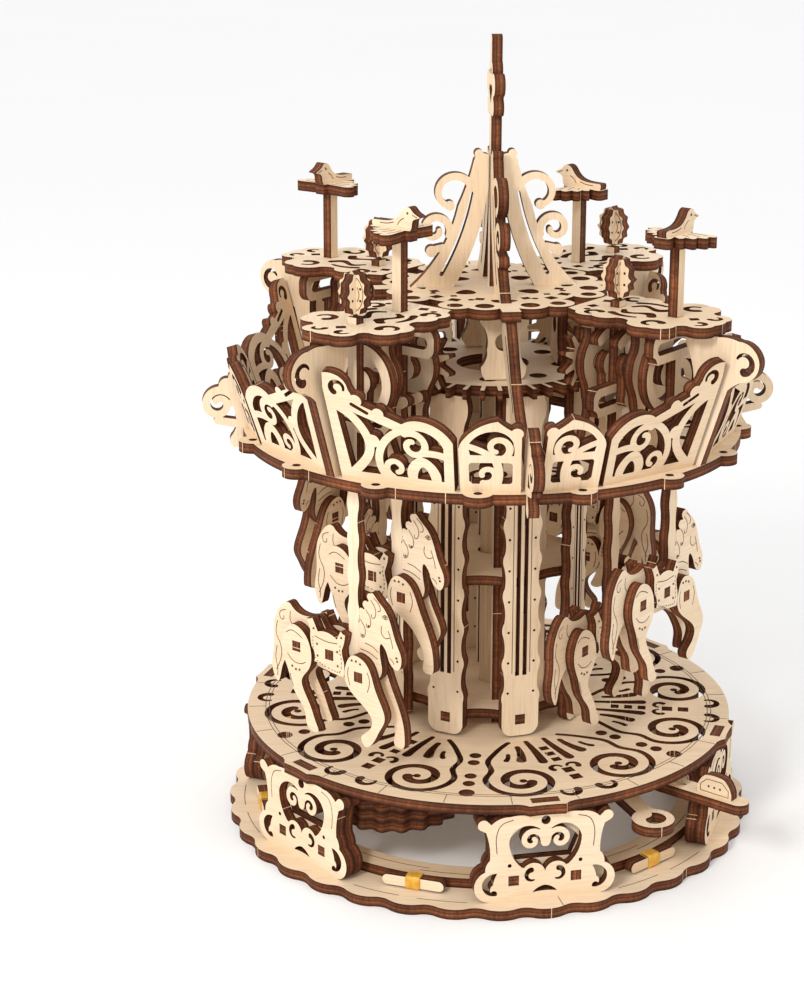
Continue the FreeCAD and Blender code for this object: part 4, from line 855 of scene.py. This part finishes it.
def rounded_square(centre, first, second, half, steps=8):
    """Points round a square with rounded corners, with their outward directions."""
    path = []
    corner = 0.5 * MM
    for quarter in range(4):
        base = math.radians(45 + 90 * quarter)
        sx = 1 if math.cos(base) > 0 else -1
        sy = 1 if math.sin(base) > 0 else -1
        for step in range(steps + 1):
            angle = base - math.pi / 4 + math.pi / 2 * step / steps
            outward = first * math.cos(angle) + second * math.sin(angle)
            origin = first * (sx * (half - corner)) + second * (sy * (half - corner))
            path.append((centre + origin + outward * corner, outward))
    return path


def toggle_bands():
    """A short rubber loop round the middle of every toggle."""
    low, high = corners("toggle_bands")
    height = (low.z + high.z) / 2
    reach = 90.9 * MM
    for index in range(BRACKETS):
        azimuth = TOGGLE_AZIMUTH + 60 * index
        path = rounded_square(polar(reach, azimuth, height), polar(1.0, azimuth), UP, 2.0 * MM)
        band_mesh("toggle_band_%d" % (index + 1), path, polar(1.0, azimuth + 90), 5.6 * MM, 0.7 * MM,
                  "root", "toggle_bands")


def motor_band():
    """The long rubber loop round its two posts under the deck."""
    low, high = corners("motor_band")
    height = (low.z + high.z) / 2
    start, end = polar(80.0 * MM, 176.0, height), polar(50.0 * MM, 196.0, height)
    along = (end - start).normalized()
    side = Vector((-along.y, along.x, 0))
    radius = 2.62 * MM
    path = []
    for centre, base in ((end, -90), (start, 90)):
        for step in range(13):
            angle = math.radians(base + 180 * step / 12)
            outward = along * math.cos(angle) + side * math.sin(angle)
            path.append((centre + outward * radius, outward))
    band_mesh("motor_band_loop", path, UP, 4.8 * MM, 0.7 * MM, "root", "motor_band")


toggle_bands()
motor_band()


# ---------------------------------------------------------------- floor, light and camera
def floor():
    material, tree, shader = new_material("studio_floor")
    tone = noise(tree, mapped(tree, (1.0, 1.0, 1.0), "Object"), 3.0, 2.0)
    link(tree, ramp(tree, tone, [(0.0, (0.93, 0.93, 0.93)), (1.0, (0.95, 0.95, 0.95))]),
         shader.inputs["Base Color"])
    shader.inputs["Roughness"].default_value = 0.9
    bpy.ops.mesh.primitive_plane_add(size=30.0, location=(0, 0, -0.0002))
    plane = bpy.context.object
    plane.name = "studio_floor"
    plane.data.materials.append(material)


def area_light(name, place, size, power, colour):
    data = bpy.data.lights.new(name, "AREA")
    data.shape = "DISK"
    data.size = size
    data.energy = power
    data.color = colour
    lamp = bpy.data.objects.new(name, data)
    lamp.location = place
    aim = Vector((0, 0, 0.13)) - Vector(place)
    lamp.rotation_euler = aim.to_track_quat("-Z", "Y").to_euler()
    bpy.context.scene.collection.objects.link(lamp)


def studio():
    world = bpy.data.worlds.new("studio")
    bpy.context.scene.world = world
    world.use_nodes = True
    background = world.node_tree.nodes["Background"]
    background.inputs["Color"].default_value = (1.0, 1.0, 1.0, 1.0)
    background.inputs["Strength"].default_value = 1.0
    area_light("key", (-0.50, -0.95, 0.80), 0.30, 7.5, (1.0, 0.985, 0.96))


def camera():
    data = bpy.data.cameras.new("view")
    eye = bpy.data.objects.new("view", data)
    eye.location = (0.0, -0.8382, 0.3977)
    pitch, roll = math.radians(90 - 16.13), math.radians(0.72)
    eye.rotation_euler = (Matrix.Rotation(pitch, 3, "X") @ Matrix.Rotation(roll, 3, "Z")).to_euler()
    data.sensor_width = 36.0
    data.lens = 80.52
    data.shift_x = -0.0898
    data.shift_y = -0.0678
    data.clip_start = 0.01
    bpy.context.scene.collection.objects.link(eye)
    bpy.context.scene.camera = eye


floor()
studio()
camera()
bpy.context.scene.view_settings.view_transform = "Standard"
